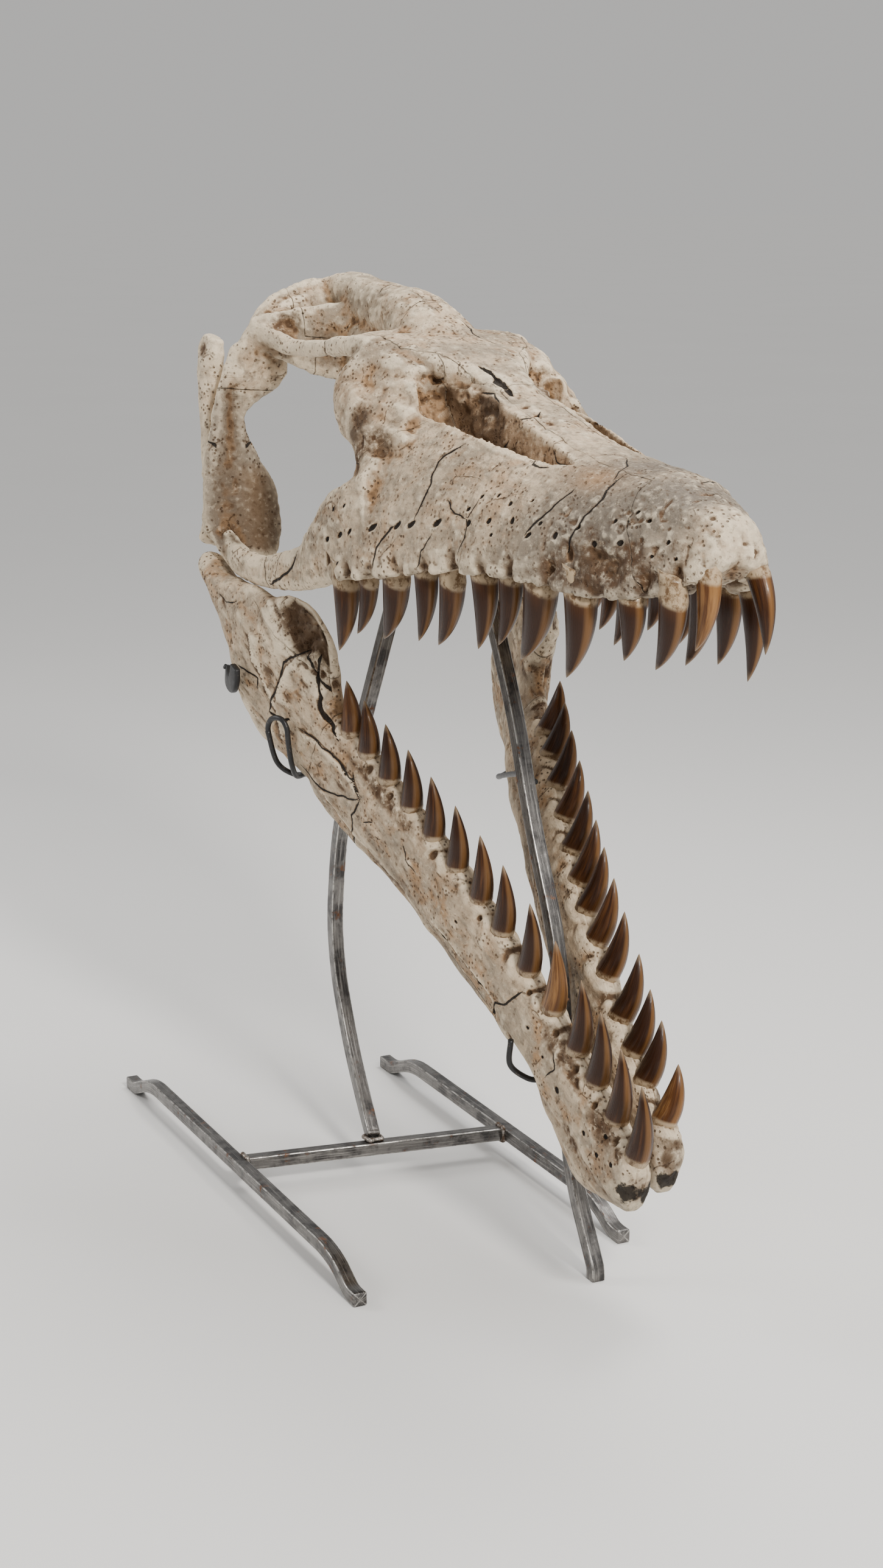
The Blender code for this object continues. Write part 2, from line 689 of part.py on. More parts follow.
STRUT = ((0.4755, 0.002, 0.0), (0.4755, 0.002, 0.010), (0.430, 0.002, 0.084), (0.418, 0.002, 0.180),
         (0.405, 0.002, 0.269), (0.354, 0.002, 0.371), (0.323, 0.002, 0.456), (0.292, 0.002, 0.513),
         (0.253, 0.002, 0.586))
HOOK_ROD = 0.005
HOOKS = {
    "stand_hook_rear_R": ((0.1780, -0.088, -0.0800), (0.140, -0.099, -0.080), (0.105, -0.107, -0.074),
                          (0.086, -0.115, -0.066), (0.080, -0.135, -0.0595), (0.076, -0.150, -0.0530)),
    "stand_hook_middle_R": ((0.181, -0.0615, -0.074), (0.184, -0.080, -0.085), (0.190, -0.100, -0.0850),
                            (0.188, -0.114, -0.0850), (0.182, -0.1300, -0.073), (0.168, -0.1400, -0.046)),
    "stand_hook_middle_L": ((0.365, 0.0115, 0.074), (0.300, 0.042, 0.010), (0.240, 0.070, -0.060),
                            (0.212, 0.092, -0.0935), (0.203, 0.110, -0.0945), (0.196, 0.122, -0.084),
                            (0.190, 0.1285, -0.062)),
    "stand_hook_front_R": ((0.566, -0.0075, -0.076), (0.562, -0.020, -0.0795), (0.558, -0.032, -0.0790),
                           (0.550, -0.048, -0.067), (0.543, -0.0520, -0.042)),
}


HOOK_SIDES = 6
FLAT_RUN = 0.5


def in_room(points):
    return np.asarray(points, float) + np.array([JOINT_X, JOINT_Y, 0.0])


def bar_mesh(path, size, sides, place):
    """Square or round bar along a bent middle line, mitred at every bend."""
    path = np.asarray(path, float)
    steps = unit(np.diff(path, axis=0))
    before = np.vstack([steps[:1], steps])
    after = np.vstack([steps, steps[-1:]])
    ahead = unit(before + after)
    flat = np.abs(ahead[:, 2]) < FLAT_RUN
    lateral = np.where(flat[:, None], np.cross(UPRIGHT, ahead), SIDEWAYS)
    lateral = unit(lateral - (lateral * ahead).sum(1, keepdims=True) * ahead)
    upward = np.cross(ahead, lateral)
    mitre = 1 / np.sqrt((1 + (before * after).sum(1)) / 2)
    turn = (np.arange(sides) + 0.5) * 2 * math.pi / sides
    radius = size / 2 / math.cos(math.pi / sides)
    rings = (
        path[:, None]
        + radius * np.cos(turn)[None, :, None] * lateral[:, None]
        + radius * (mitre[:, None] * np.sin(turn)[None, :])[..., None] * upward[:, None]
    )
    return closed_mesh("bar", rings, place)


def hook_mesh(path):
    """Round rod along a bent middle line; its rings never turn about the line."""
    rows = np.asarray(path, float)
    radius = np.full((len(rows), 2), HOOK_ROD / 2)
    rings = oval_rings(np.hstack([rows, radius]), FORWARD, sides=HOOK_SIDES, steps=1, power=2.0)
    return closed_mesh("hook", rings, in_jaw)


steel = {}
for name, path in FOOT_BARS.items():
    steel["stand_foot_bar_" + name] = bar_mesh(path, STEEL_BAR, 4, in_room)
steel["stand_crossbar"] = bar_mesh(CROSSBAR, STEEL_BAR, 4, in_room)
steel["stand_post"] = bar_mesh(POST, STEEL_BAR, 4, in_room)
steel["stand_strut"] = bar_mesh(STRUT, STEEL_BAR, 4, in_room)
for name, path in HOOKS.items():
    steel[name] = hook_mesh(path)


# ---------------------------------------------------------------- names, shading and materials

# red, green, blue, roughness, metallic
IVORY = (0.64, 0.55, 0.43, 0.72, 0.0)
SNOUT = (0.50, 0.43, 0.34, 0.72, 0.0)
OCHRE = (0.55, 0.43, 0.30, 0.75, 0.0)
GUNMETAL = (0.20, 0.19, 0.18, 0.38, 0.9)
BLACK_ROD = (0.02, 0.02, 0.02, 0.45, 0.7)
BONE_TONES = {"premaxilla": SNOUT, "braincase": OCHRE, "palate": OCHRE, "pterygoid": OCHRE}


def finished(thing, name, tone, smooth):
    thing.name = name
    material = bpy.data.materials.new(name)
    material.use_nodes = True
    shader = material.node_tree.nodes["Principled BSDF"]
    red, green, blue, roughness, metallic = tone
    shader.inputs["Base Color"].default_value = (red, green, blue, 1.0)
    shader.inputs["Roughness"].default_value = roughness
    shader.inputs["Metallic"].default_value = metallic
    thing.data.materials.clear()
    thing.data.materials.append(material)
    thing.data.polygons.foreach_set("use_smooth", [smooth] * len(thing.data.polygons))


for name, bone in bones.items():
    finished(bone, name, BONE_TONES.get(name.split("_")[0], IVORY), smooth=True)
for name, mesh in steel.items():
    hook = name in HOOKS
    finished(new_object(name, mesh), name, BLACK_ROD if hook else GUNMETAL, smooth=hook)
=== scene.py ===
"""A mosasaur skull with gaping jaws on its welded steel stand, finished for display.

Metres, +Z up, the snout towards +X and the animal's left towards +Y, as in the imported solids.
The fossil is made bone by bone: the cranium and its sutures, the upper teeth, the quadrates,
the mandible, the lower teeth, and last the steel stand that carries them all.
"""

import math

import bmesh
import bpy
import numpy as np
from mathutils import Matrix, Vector


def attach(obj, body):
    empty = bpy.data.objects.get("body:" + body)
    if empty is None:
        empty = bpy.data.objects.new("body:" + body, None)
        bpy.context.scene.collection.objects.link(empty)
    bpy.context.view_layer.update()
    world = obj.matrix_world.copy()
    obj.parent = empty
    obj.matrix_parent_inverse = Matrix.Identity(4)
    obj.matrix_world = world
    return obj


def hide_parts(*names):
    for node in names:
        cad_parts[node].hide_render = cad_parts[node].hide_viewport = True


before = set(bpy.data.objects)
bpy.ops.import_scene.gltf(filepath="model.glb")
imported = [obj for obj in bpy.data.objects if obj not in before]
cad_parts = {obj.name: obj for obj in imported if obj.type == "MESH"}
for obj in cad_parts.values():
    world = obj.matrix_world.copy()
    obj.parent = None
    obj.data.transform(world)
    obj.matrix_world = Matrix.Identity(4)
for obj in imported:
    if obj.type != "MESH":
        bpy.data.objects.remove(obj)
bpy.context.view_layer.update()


# ---------------------------------------------------------------- the room
# A pale seamless studio floor under one broad lamp in front, a soft overhead panel and a rim
# lamp at the left rear. The floor runs out so far that it meets the pale air with no edge.

FLOOR_REACH = 60.0
FLOOR_TONE = (0.7535, 0.7480, 0.7390, 1.0)
FLOOR_CLOUDS = 0.96
AIR_TONE = (0.76, 0.75, 0.735, 1.0)
AIR_STRENGTH = 0.70
SKY_LIGHT = 0.70
SKY_SPREAD = math.radians(50)
SKY_TURN = (math.radians(-18), math.radians(24), 0.0)
# place, what it faces, width, power, tint
LAMPS = {
    "key_lamp": ((2.35, -0.10, 1.95), (0.0, 0.0, 0.45), 0.48, 86, (1.0, 0.97, 0.92)),
    "top_panel": ((-0.2, 0.7, 2.2), (0.0, 0.0, 0.5), 0.9, 26, (1.0, 0.98, 0.95)),
    "rim_lamp": ((-1.3, -1.5, 1.3), (-0.1, 0.0, 0.5), 0.8, 16, (1.0, 0.99, 0.97)),
}
CAMERA_PLACE = (1.8993, -0.9386, 0.8939)
CAMERA_TURN = (76.518, 0.0, 64.193)
CAMERA_LENS = 57.5
CAMERA_REACH = 300


class Paint:
    """A procedural material, built node by node on the piece's own coordinates."""

    def __init__(self, name):
        self.material = bpy.data.materials.new(name)
        self.material.use_nodes = True
        self.place = self.node("TexCoord", out="Object")

    def join(self, node, inputs):
        """A value or another node's output goes into each named or numbered input."""
        for key, value in inputs.items():
            if isinstance(value, bpy.types.NodeSocket):
                self.material.node_tree.links.new(value, node.inputs[key])
            else:
                node.inputs[key].default_value = value

    def node(self, kind, inputs=None, out=0, **settings):
        """One output of a new shader node."""
        node = self.material.node_tree.nodes.new("ShaderNode" + kind)
        for name, value in settings.items():
            setattr(node, name, value)
        self.join(node, inputs or {})
        return node.outputs[out]

    def math(self, operation, first, second=0.5):
        return self.node("Math", {0: first, 1: second}, operation=operation)

    def plus(self, first, second):
        return self.math("ADD", first, second)

    def times(self, first, second):
        return self.math("MULTIPLY", first, second)

    def eased(self, value, low, high):
        """0 where the value is under low, 1 over high, and an S curve between; low may be the larger."""
        return self.node("MapRange", {"Value": value, "From Min": low, "From Max": high},
                         interpolation_type="SMOOTHSTEP")

    def ranged(self, value, least, most, low=0.0, high=1.0):
        """The value, which runs from low to high, drawn out to run from least to most."""
        return self.node("MapRange", {"Value": value, "From Min": low, "From Max": high,
                                      "To Min": least, "To Max": most})

    def drawn(self, vector, scale):
        return self.node("Mapping", {"Vector": vector, "Scale": scale})

    def grain(self, scale, detail=4.0, rough=0.55, warp=0.0, on=None, out="Fac"):
        """Cloud noise between 0 and 1."""
        on = self.place if on is None else on
        return self.node("TexNoise", {"Vector": on, "Scale": scale, "Detail": detail, "Roughness": rough,
                                      "Distortion": warp}, out)

    def field(self, name, out="Fac"):
        return self.node("Attribute", out=out, attribute_name=name)

    def layered(self, tone, layers):
        """The tone under layers of colour, each with its share and the most that it may cover."""
        for share, most, colour in layers:
            share = share if most == 1 else self.times(share, most)
            tone = self.node("Mix", {0: share, 6: tone, 7: colour}, 2, data_type="RGBA")
        return tone

    def finish(self, height=None, relief=0.0, strength=1.0, **inputs):
        """Sets the surface: its tone and its other inputs by name, and the height of its fine relief."""
        inputs = {name.replace("_", " "): value for name, value in inputs.items()}
        if height is not None:
            inputs["Normal"] = self.node("Bump", {"Strength": strength, "Distance": relief, "Height": height})
        self.join(self.material.node_tree.nodes["Principled BSDF"], inputs)


def placed(name, data):
    """A new object with this name and data, put into the scene."""
    thing = bpy.data.objects.new(name, data)
    bpy.context.scene.collection.objects.link(thing)
    return thing


def piece_of(name, points, faces):
    """A smooth mesh object from arrays of points and of faces, each face a row of point numbers."""
    mesh = bpy.data.meshes.new(name)
    mesh.from_pydata(np.asarray(points, float).tolist(), [], [list(map(int, row)) for row in faces])
    mesh.polygons.foreach_set("use_smooth", [True] * len(mesh.polygons))
    return placed(name, mesh)


corners = [(across * FLOOR_REACH, ahead * FLOOR_REACH, 0)
           for across, ahead in ((-1, -1), (1, -1), (1, 1), (-1, 1))]
floor = piece_of("studio_floor", corners, [(0, 1, 2, 3)])
paint = Paint("studio_floor")
darker = tuple(FLOOR_CLOUDS * part for part in FLOOR_TONE[:3]) + (1,)
paint.finish(Base_Color=paint.layered(FLOOR_TONE, [(paint.grain(1.5, 3), 1, darker)]), Roughness=1.0,
             Specular_IOR_Level=0.0)
floor.data.materials.append(paint.material)

air = bpy.data.worlds.new("studio_air")
air.use_nodes = True
air.node_tree.nodes["Background"].inputs["Color"].default_value = AIR_TONE
air.node_tree.nodes["Background"].inputs["Strength"].default_value = AIR_STRENGTH
bpy.context.scene.world = air

for name, (place, aim, width, power, tint) in LAMPS.items():
    light = bpy.data.lights.new(name, "AREA")
    light.shape = "DISK"
    light.size, light.energy, light.color = width, power, tint
    lamp = placed(name, light)
    lamp.location = place
    lamp.rotation_euler = (Vector(aim) - Vector(place)).to_track_quat("-Z", "Y").to_euler()
sky = bpy.data.lights.new("sky_panel", "SUN")
sky.energy, sky.angle = SKY_LIGHT, SKY_SPREAD
placed("sky_panel", sky).rotation_euler = SKY_TURN

view = bpy.data.cameras.new("camera")
view.lens, view.clip_end = CAMERA_LENS, CAMERA_REACH
camera = placed("camera", view)
camera.location = CAMERA_PLACE
camera.rotation_euler = [math.radians(turn) for turn in CAMERA_TURN]
bpy.context.scene.camera = camera


# ---------------------------------------------------------------- the cranium
# Mineralised bone, one rigid skull roof and snout that the animal's sutures divide into its
# bones. The limbs are laid out as oval sections along bent middle lines, melted together,
# weathered, and then cut along the sutures so that each bone is a closed piece of its own.

JOINT = (-0.2723, 0.0230, 0.5464)
CRANIUM_PITCH = math.radians(6.1)
TWIST = 0.32
TWIST_CENTRE = 0.28
TWIST_HEIGHT = 0.20
SIDES = {"R": -1.0, "L": 1.0}
LIMB_CELL = 0.0022
BONE_CELL = 0.0016
MELT_REACH = 0.008
SMOOTHING = 0.0028
UPRIGHT = (0.0, 0.0, 1.0)
FORWARD = (1.0, 0.0, 0.0)
SIDEWAYS = (0.0, 1.0, 0.0)
MM = 1000
TENTH = 10000


def metres(unit, rows):
    """The nest of rows with each whole number turned into metres, this many units to the metre."""
    if isinstance(rows, dict):
        return {name: metres(unit, row) for name, row in rows.items()}
    if isinstance(rows, tuple):
        return tuple(metres(unit, row) for row in rows)
    return rows / unit if isinstance(rows, int) else rows


def turned(points, pitch):
    """(along, aside, above) turned up by the pitch."""
    along, aside, above = np.moveaxis(np.asarray(points, float), -1, 0)
    return np.stack([along * math.cos(pitch) - above * math.sin(pitch), aside,
                     along * math.sin(pitch) + above * math.cos(pitch)], -1)


def in_cranium(points):
    """Room coordinates of (along, aside, above), slightly twisted by the rock and pitched up."""
    points = np.array(points, float)
    along, aside, above = np.moveaxis(points, -1, 0)
    points[..., 2] = above + aside * TWIST * (along - TWIST_CENTRE) * above / TWIST_HEIGHT
    return turned(points, CRANIUM_PITCH) + JOINT


def from_cranium(points):
    """(along, aside, above) of room coordinates: in_cranium undone."""
    spot = turned(np.asarray(points, float) - JOINT, -CRANIUM_PITCH)
    spot[..., 2] /= 1 + spot[..., 1] * TWIST * (spot[..., 0] - TWIST_CENTRE) / TWIST_HEIGHT
    return spot


def smooth_path(rows, steps):
    """Catmull-Rom curve through the rows: a cubic from each row to the next, sloped along its neighbours."""
    rows = np.asarray(rows, float)
    ends = np.vstack([2 * rows[0] - rows[1], rows, 2 * rows[-1] - rows[-2]])
    a, b, c, d = (ends[k : len(rows) - 1 + k, None] for k in range(4))
    t = np.linspace(0, 1, steps, endpoint=False)[None, :, None]
    curve = 0.5 * (2 * b + (c - a) * t + (2 * a - 5 * b + 4 * c - d) * t**2 + (3 * b - a - 3 * c + d) * t**3)
    return np.vstack([curve.reshape(-1, rows.shape[1]), rows[-1:]])


def travel(path):
    """How far along a path of points each point lies."""
    return np.concatenate([[0], np.cumsum(np.linalg.norm(np.diff(path, axis=0), axis=1))])


def unit(vectors):
    """The vectors, each divided by its own length."""
    return vectors / np.linalg.norm(vectors, axis=-1, keepdims=True)


def square_to(ahead, vectors):
    """The vectors made square to the way ahead, as units."""
    return unit(vectors - (vectors * ahead).sum(1, keepdims=True) * ahead)


def oval(turn, power):
    """Superellipse: cosine and sine, each raised to 2 / power with its sign kept."""
    return [np.sign(wave) * np.abs(wave) ** (2 / power) for wave in (np.cos(turn), np.sin(turn))]


def carried(path, across, down, width, depth):
    """Rings round a path: across and down, one value or row to a ring, along its two side directions."""
    return path[:, None] + across[..., None] * width[:, None] + down[..., None] * depth[:, None]


def oval_rings(rows, depth_way, sides=44, steps=10, power=2.2):
    """A superellipse carried along the smoothed rows (along, aside, above, half width, half depth)."""
    rows = smooth_path(rows, steps)
    ahead = unit(np.gradient(rows[:, :3], axis=0))
    depth = square_to(ahead, np.asarray(depth_way)[None])
    across, down = oval(np.linspace(0, 2 * math.pi, sides, endpoint=False), power)
    return carried(rows[:, :3], rows[:, 3:4] * across, rows[:, 4:5] * down, np.cross(depth, ahead), depth)


def skin(rings, closed=False):
    """Points and faces round the rings (ring, place on it, xyz): triangles with a fan over each open end.

    A tube that closes on itself has faces of four points.
    """
    count, around = rings.shape[:2]
    points = rings.reshape(-1, 3)
    row, column = np.meshgrid(np.arange(count - (not closed)), np.arange(around), indexing="ij")
    after, beside = (row + 1) % count * around, (column + 1) % around
    quads = [row * around + column, row * around + beside, after + beside, after + column]
    faces = np.stack(quads, -1).reshape(-1, 4)
    if not closed:
        points = np.vstack([points, rings[0].mean(0), rings[-1].mean(0)])
        place = np.arange(around)
        beside = np.roll(place, -1)
        last = (count - 1) * around
        faces = np.vstack([faces[:, [0, 1, 2]], faces[:, [0, 2, 3]],
                           np.stack([beside, place, np.full(around, count * around)], -1),
                           np.stack([last + place, last + beside, np.full(around, count * around + 1)], -1)])
    middle = points[faces] - points.mean(0)
    inside_out = np.einsum("ij,ij->i", middle[:, 0], np.cross(middle[:, 1], middle[:, 2])).sum() < 0
    return points, faces[:, ::-1] if inside_out else faces


def gathered(name, shells):
    """One object that holds several shells, each of points, faces and perhaps more."""
    starts = np.cumsum([0] + [len(shell[0]) for shell in shells])
    return piece_of(name, np.vstack([shell[0] for shell in shells]),
                    np.vstack([shell[1] + start for shell, start in zip(shells, starts)]))


def baked(piece):
    """The piece with its modifiers worked into its mesh."""
    bpy.context.view_layer.update()
    mesh = bpy.data.meshes.new_from_object(piece.evaluated_get(bpy.context.evaluated_depsgraph_get()))
    piece.modifiers.clear()
    piece.data = mesh
    return piece


def melted(piece, cell, reach):
    """One even skin over all that overlaps, softened over about this reach."""
    remesh = piece.modifiers.new("melt", "REMESH")
    remesh.mode = "VOXEL"
    remesh.voxel_size = cell
    soften = piece.modifiers.new("soften", "SMOOTH")
    soften.factor = 0.5
    soften.iterations = max(1, round((reach / cell) ** 2))
    return baked(piece)


def carved(piece, cutter, operation):
    """The piece cut, joined or kept by a closed cutter."""
    cutter.hide_render = True
    cut = piece.modifiers.new("cut", "BOOLEAN")
    cut.operation = operation
    cut.solver = "MANIFOLD"
    cut.object = cutter
    return baked(piece)


# along, half width at the gum, height of the gum, height of the roof, in mm, and squareness of the arch
MUZZLE = metres(MM, (
    (677, 13, 14, 26, 2.0), (671, 24, 6, 40, 2.2), (657, 34, -3, 51, 2.3), (632, 46, -10, 62, 2.4),
    (595, 61, -11, 75, 2.4), (552, 76, -9, 82, 2.3), (510, 87, -1, 90, 2.1), (445, 102, 4, 110, 1.9),
    (370, 118, 3, 138, 1.9), (300, 129, -2, 160, 1.85), (255, 132, -4, 168, 1.9), (236, 120, 10, 164, 1.8)))
GUM_THICKNESS = 0.028
VAULT_DEPTH = 0.022
# each limb's depth direction and squareness, then rows of along, aside, above, half width, half depth in mm
LIMBS = metres(MM, {
    "frontal": (UPRIGHT, 3.0, (
        (350, 0, 136, 18, 10), (310, 0, 155, 28, 12), (280, 0, 168, 46, 13), (240, 0, 182, 66, 13),
        (205, 0, 191, 75, 12), (185, 0, 194, 72, 11))),
    "parietal": (UPRIGHT, 2.2, (
        (225, 0, 186, 36, 16), (190, 0, 196, 34, 28), (150, 0, 213, 28, 29), (100, 0, 226, 24, 26),
        (50, 0, 240, 23, 22), (20, 0, 248, 22, 19), (-6, 0, 251, 20, 12))),
    "braincase": (UPRIGHT, 2.2, (
        (190, 0, 175, 22, 30), (140, 0, 165, 27, 55), (90, 0, 178, 30, 45), (55, 0, 195, 28, 34),
        (32, 0, 200, 26, 28))),
})
# the same for the limbs that each side has one of
PAIRED_LIMBS = metres(MM, {
    "prefrontal": (SIDEWAYS, 2.2, (
        (222, 60, 182, 24, 14), (216, 76, 166, 24, 18), (212, 86, 147, 26, 19), (232, 90, 132, 26, 20),
        (258, 94, 115, 22, 18), (268, 99, 92, 22, 15), (276, 101, 76, 18, 14))),
    "flank": (UPRIGHT, 2.2, (
        (205, 60, 170, 13, 14), (235, 58, 158, 16, 22), (258, 54, 148, 14, 22), (276, 50, 140, 8, 14))),
    "cheek": (UPRIGHT, 2.2, (
        (300, 112, 45, 12, 45), (250, 120, 34, 12, 40), (210, 123, 17, 11, 29), (180, 124, 6, 10, 21),
        (150, 126, 1, 10, 18), (85, 130, -1, 10, 14), (35, 132, 8, 9, 14), (6, 134, 22, 8, 14))),
    "jugal_blade": (FORWARD, 2.2, (
        (14, 90, 208, 16, 12), (6, 93, 181, 28, 9), (0, 120, 144, 16, 7), (0, 124, 120, 19, 6),
        (0, 124, 98, 27, 6), (0, 121, 76, 34, 6), (0, 116, 53, 40, 6), (2, 115, 29, 38, 6),
        (12, 118, 8, 28, 6))),
    "temporal_bar": (UPRIGHT, 2.2, (
        (215, 68, 189, 12, 9), (170, 77, 190, 7, 8), (120, 77, 190, 7, 8), (60, 80, 193, 8, 8),
        (14, 92, 207, 14, 13))),
    "parietal_ramus": (UPRIGHT, 2.2, (
        (4, 0, 252, 11, 11), (0, 30, 249, 8, 9), (0, 60, 239, 8, 8), (4, 83, 223, 9, 9),
        (14, 92, 206, 12, 12))),
    "paroccipital": (UPRIGHT, 2.2, (
        (56, 12, 200, 12, 36), (42, 35, 201, 10, 35), (34, 60, 203, 9, 29), (24, 82, 205, 9, 21),
        (12, 100, 206, 9, 13))),
    "pterygoid": (UPRIGHT, 2.2, ((140, 10, 125, 12, 16), (190, 26, 80, 13, 12), (270, 50, 40, 18, 12))),
    "brow": (SIDEWAYS, 2.2, (
        (216, 85, 138, 22, 18), (246, 83, 133, 22, 17), (274, 80, 128, 20, 14), (300, 76, 121, 16, 9))),
    "eave": (UPRIGHT, 2.2, (
        (190, 68, 186, 10, 9), (222, 68, 177, 13, 13), (250, 65, 168, 14, 14), (278, 59, 160, 11, 10))),
    "fossa": (SIDEWAYS, 2.2, ((258, 92, 112, 22, 14), (284, 90, 104, 22, 12), (312, 86, 98, 16, 8))),
    "saddle": (UPRIGHT, 2.2, (
        (212, 78, 162, 10, 10), (244, 75, 154, 13, 13), (272, 70, 149, 13, 13), (296, 63, 146, 10, 10))),
    "cheek_root": (SIDEWAYS, 2.2, (
        (278, 100, 96, 20, 12), (277, 108, 77, 24, 12), (272, 115, 56, 22, 11), (264, 119, 38, 16, 10))),
    "nape": (UPRIGHT, 2.2, ((12, 14, 226, 7, 24), (12, 46, 224, 6, 20), (16, 78, 216, 6, 12))),
})
# the same five columns for the nostril's opening, which is cut out on both sides
NARIS = metres(MM, (
    (284, 53, 157, 9, 16), (302, 53, 152, 16, 32), (330, 48, 147, 19, 42), (390, 43, 125, 16, 45),
    (450, 38, 110, 11, 35), (500, 33, 105, 4, 18)))


def muzzle_rings(arch_points=90, vault_points=30):
    """Superellipse arch over the snout, then a palate that vaults up as a cosine between the gums."""
    along, half_width, gum, roof, squareness = (column[:, None] for column in smooth_path(MUZZLE, 12).T)
    across, rise = oval(np.linspace(0, math.pi, arch_points)[None], squareness)
    inner = half_width - np.minimum(GUM_THICKNESS, 0.45 * half_width)
    swing = np.linspace(-1, 1, vault_points)[None]
    vault = gum + VAULT_DEPTH * (half_width / MUZZLE[-1][1]) * np.cos(swing * math.pi / 2) ** 0.8
    aside = np.hstack([half_width * across, inner * swing])
    above = np.hstack([gum + (roof - gum) * rise, vault])
    return np.stack([np.broadcast_to(along, aside.shape), aside, above], -1)


def limb(rows, depth_way, side=1.0, power=2.2):
    """One closed limb of the skull: an oval carried along its rows, on the right where side is -1."""
    rows = np.asarray(rows, float) * (1, side, 1, 1, 1)
    return skin(in_cranium(oval_rings(rows, depth_way, power=power)))


shells = [skin(in_cranium(muzzle_rings()))]
shells += [limb(rows, way, power=power) for way, power, rows in LIMBS.values()]
shells += [limb(rows, way, side, power) for way, power, rows in PAIRED_LIMBS.values()
           for side in SIDES.values()]
cranium = melted(gathered("cranium", shells), LIMB_CELL, MELT_REACH)
for side in SIDES.values():
    opening = gathered("naris", [limb(NARIS, UPRIGHT, side)])
    carved(cranium, opening, "DIFFERENCE")
    bpy.data.objects.remove(opening)
melted(cranium, BONE_CELL, SMOOTHING)


# Weathering of the bone: lumps, sockets, pits, pores and cracks. Each is a relief that is added along
# the surface's own outward direction, so that it shows from every side.


def points_of(piece, what="co"):
    """The piece's points, or the outward direction at each."""
    values = np.empty(len(piece.data.vertices) * 3, np.float32)
    if what == "co":
        piece.data.vertices.foreach_get("co", values)
    else:
        piece.data.vertex_normals.foreach_get("vector", values)
    return values.reshape(-1, 3).astype(float)


def edges_of(mesh):
    """The point numbers at the one and the other end of each edge."""
    ends = np.empty(len(mesh.edges) * 2, np.int32)
    mesh.edges.foreach_get("vertices", ends)
    return ends.reshape(-1, 2).T


def lumps(points, size, seed):
    """Noise from -1 to 1: random values on a lattice of this size, eased from corner to corner."""
    lattice = np.random.default_rng(seed).uniform(-1, 1, (32, 32, 32))
    spot = np.asarray(points) / size
    low = np.floor(spot).astype(int)
    part = spot - low
    part = part * part * (3 - 2 * part)
    total = 0.0
    for corner in np.ndindex(2, 2, 2):
        share = np.prod(np.where(corner, part, 1 - part), axis=1)
        total = total + share * lattice[tuple(((low + corner) % 32).T)]
    return total


def lumpy(spot, layers, seed=0):
    """Layers of lumps, each of a height, a size, a seed of its own and a stretch along the bone."""
    return sum(height * lumps(spot * (stretch, 1, 1), size, seed + own)
               for height, size, own, stretch in layers)


def near(points, centre, reach):
    """Bell of height 1 at the centre that fades over the reach (one for all, or one per axis)."""
    return np.exp(-(((points - centre) / reach) ** 2).sum(1))


def bell(values, reach):
    """Bell of height 1 at 0: exp(-(values / reach)^2)."""
    return np.exp(-((values / reach) ** 2))


def step(values, low, high):
    """S curve from 0 at low to 1 at high."""
    t = np.clip((values - low) / (high - low), 0, 1)
    return t * t * (3 - 2 * t)


def hollows(piece, points, normals, rounds):
    """How far each point lies under its smoothed surroundings, in metres: positive in a hollow."""
    one, two = edges_of(piece.data)
    count = np.bincount(one, minlength=len(points)) + np.bincount(two, minlength=len(points))
    soft = points.copy()
    for _ in range(rounds):
        pulled = [np.bincount(one, soft[two, k], len(points)) + np.bincount(two, soft[one, k], len(points))
                  for k in range(3)]
        soft = 0.3 * soft + 0.7 * np.stack(pulled, -1) / count[:, None]
    return ((soft - points) * normals).sum(1)


def route_distance(a, b, route):
    """Signed distance in the plane (a, b) to a broken line, and how far along it is nearest, 0 to 1."""
    route = np.asarray(route, float)
    start, run = route[:-1], np.diff(route, axis=0)
    reach = np.linalg.norm(run, axis=1)
    da, db = a[:, None] - start[:, 0], b[:, None] - start[:, 1]
    share = np.clip((da * run[:, 0] + db * run[:, 1]) / reach**2, 0, 1)
    off_a, off_b = da - share * run[:, 0], db - share * run[:, 1]
    away = np.hypot(off_a, off_b)
    best = away.argmin(1)
    pick = np.arange(len(a)), best
    sign = np.where(run[best, 0] * off_b[pick] - run[best, 1] * off_a[pick] < 0, -1.0, 1.0)
    done = (np.concatenate([[0], np.cumsum(reach)])[best] + share[pick] * reach[best]) / reach.sum()
    return sign * away[pick], done


def wandering(route, spacing, swing, seed, closed=False):
    """The broken line with points this far apart, each pushed sideways by eased noise of this swing."""
    route = np.asarray(route, float)
    if closed:
        route = np.vstack([route, route[:1]])
    reach = travel(route)
    stops = np.linspace(0, reach[-1], max(3, int(reach[-1] / spacing)))
    stops = np.unique(np.concatenate([stops, reach]))
    path = np.stack([np.interp(stops, reach, column) for column in route.T], -1)
    push = np.random.default_rng(seed).uniform(-1, 1, (len(path), 2))
    push = 0.5 * push + 0.25 * (np.roll(push, 1, 0) + np.roll(push, -1, 0))
    if closed:
        return (path + swing * push)[:-1]
    push[0] = push[-1] = 0
    return path + swing * push


def open_split(a, b, path, half, seed, fade_in, fade_out):
    """2 in the middle of an open split and 1 at its ragged lips, which close towards both its ends."""
    away, done = route_distance(a, b, path)
    ragged = half * (1 + 0.9 * lumps(spot, 0.0070, seed)) * step(done, 0, fade_in) * step(done, 1, fade_out)
    return 2 - np.abs(away) / (ragged + 1e-5)


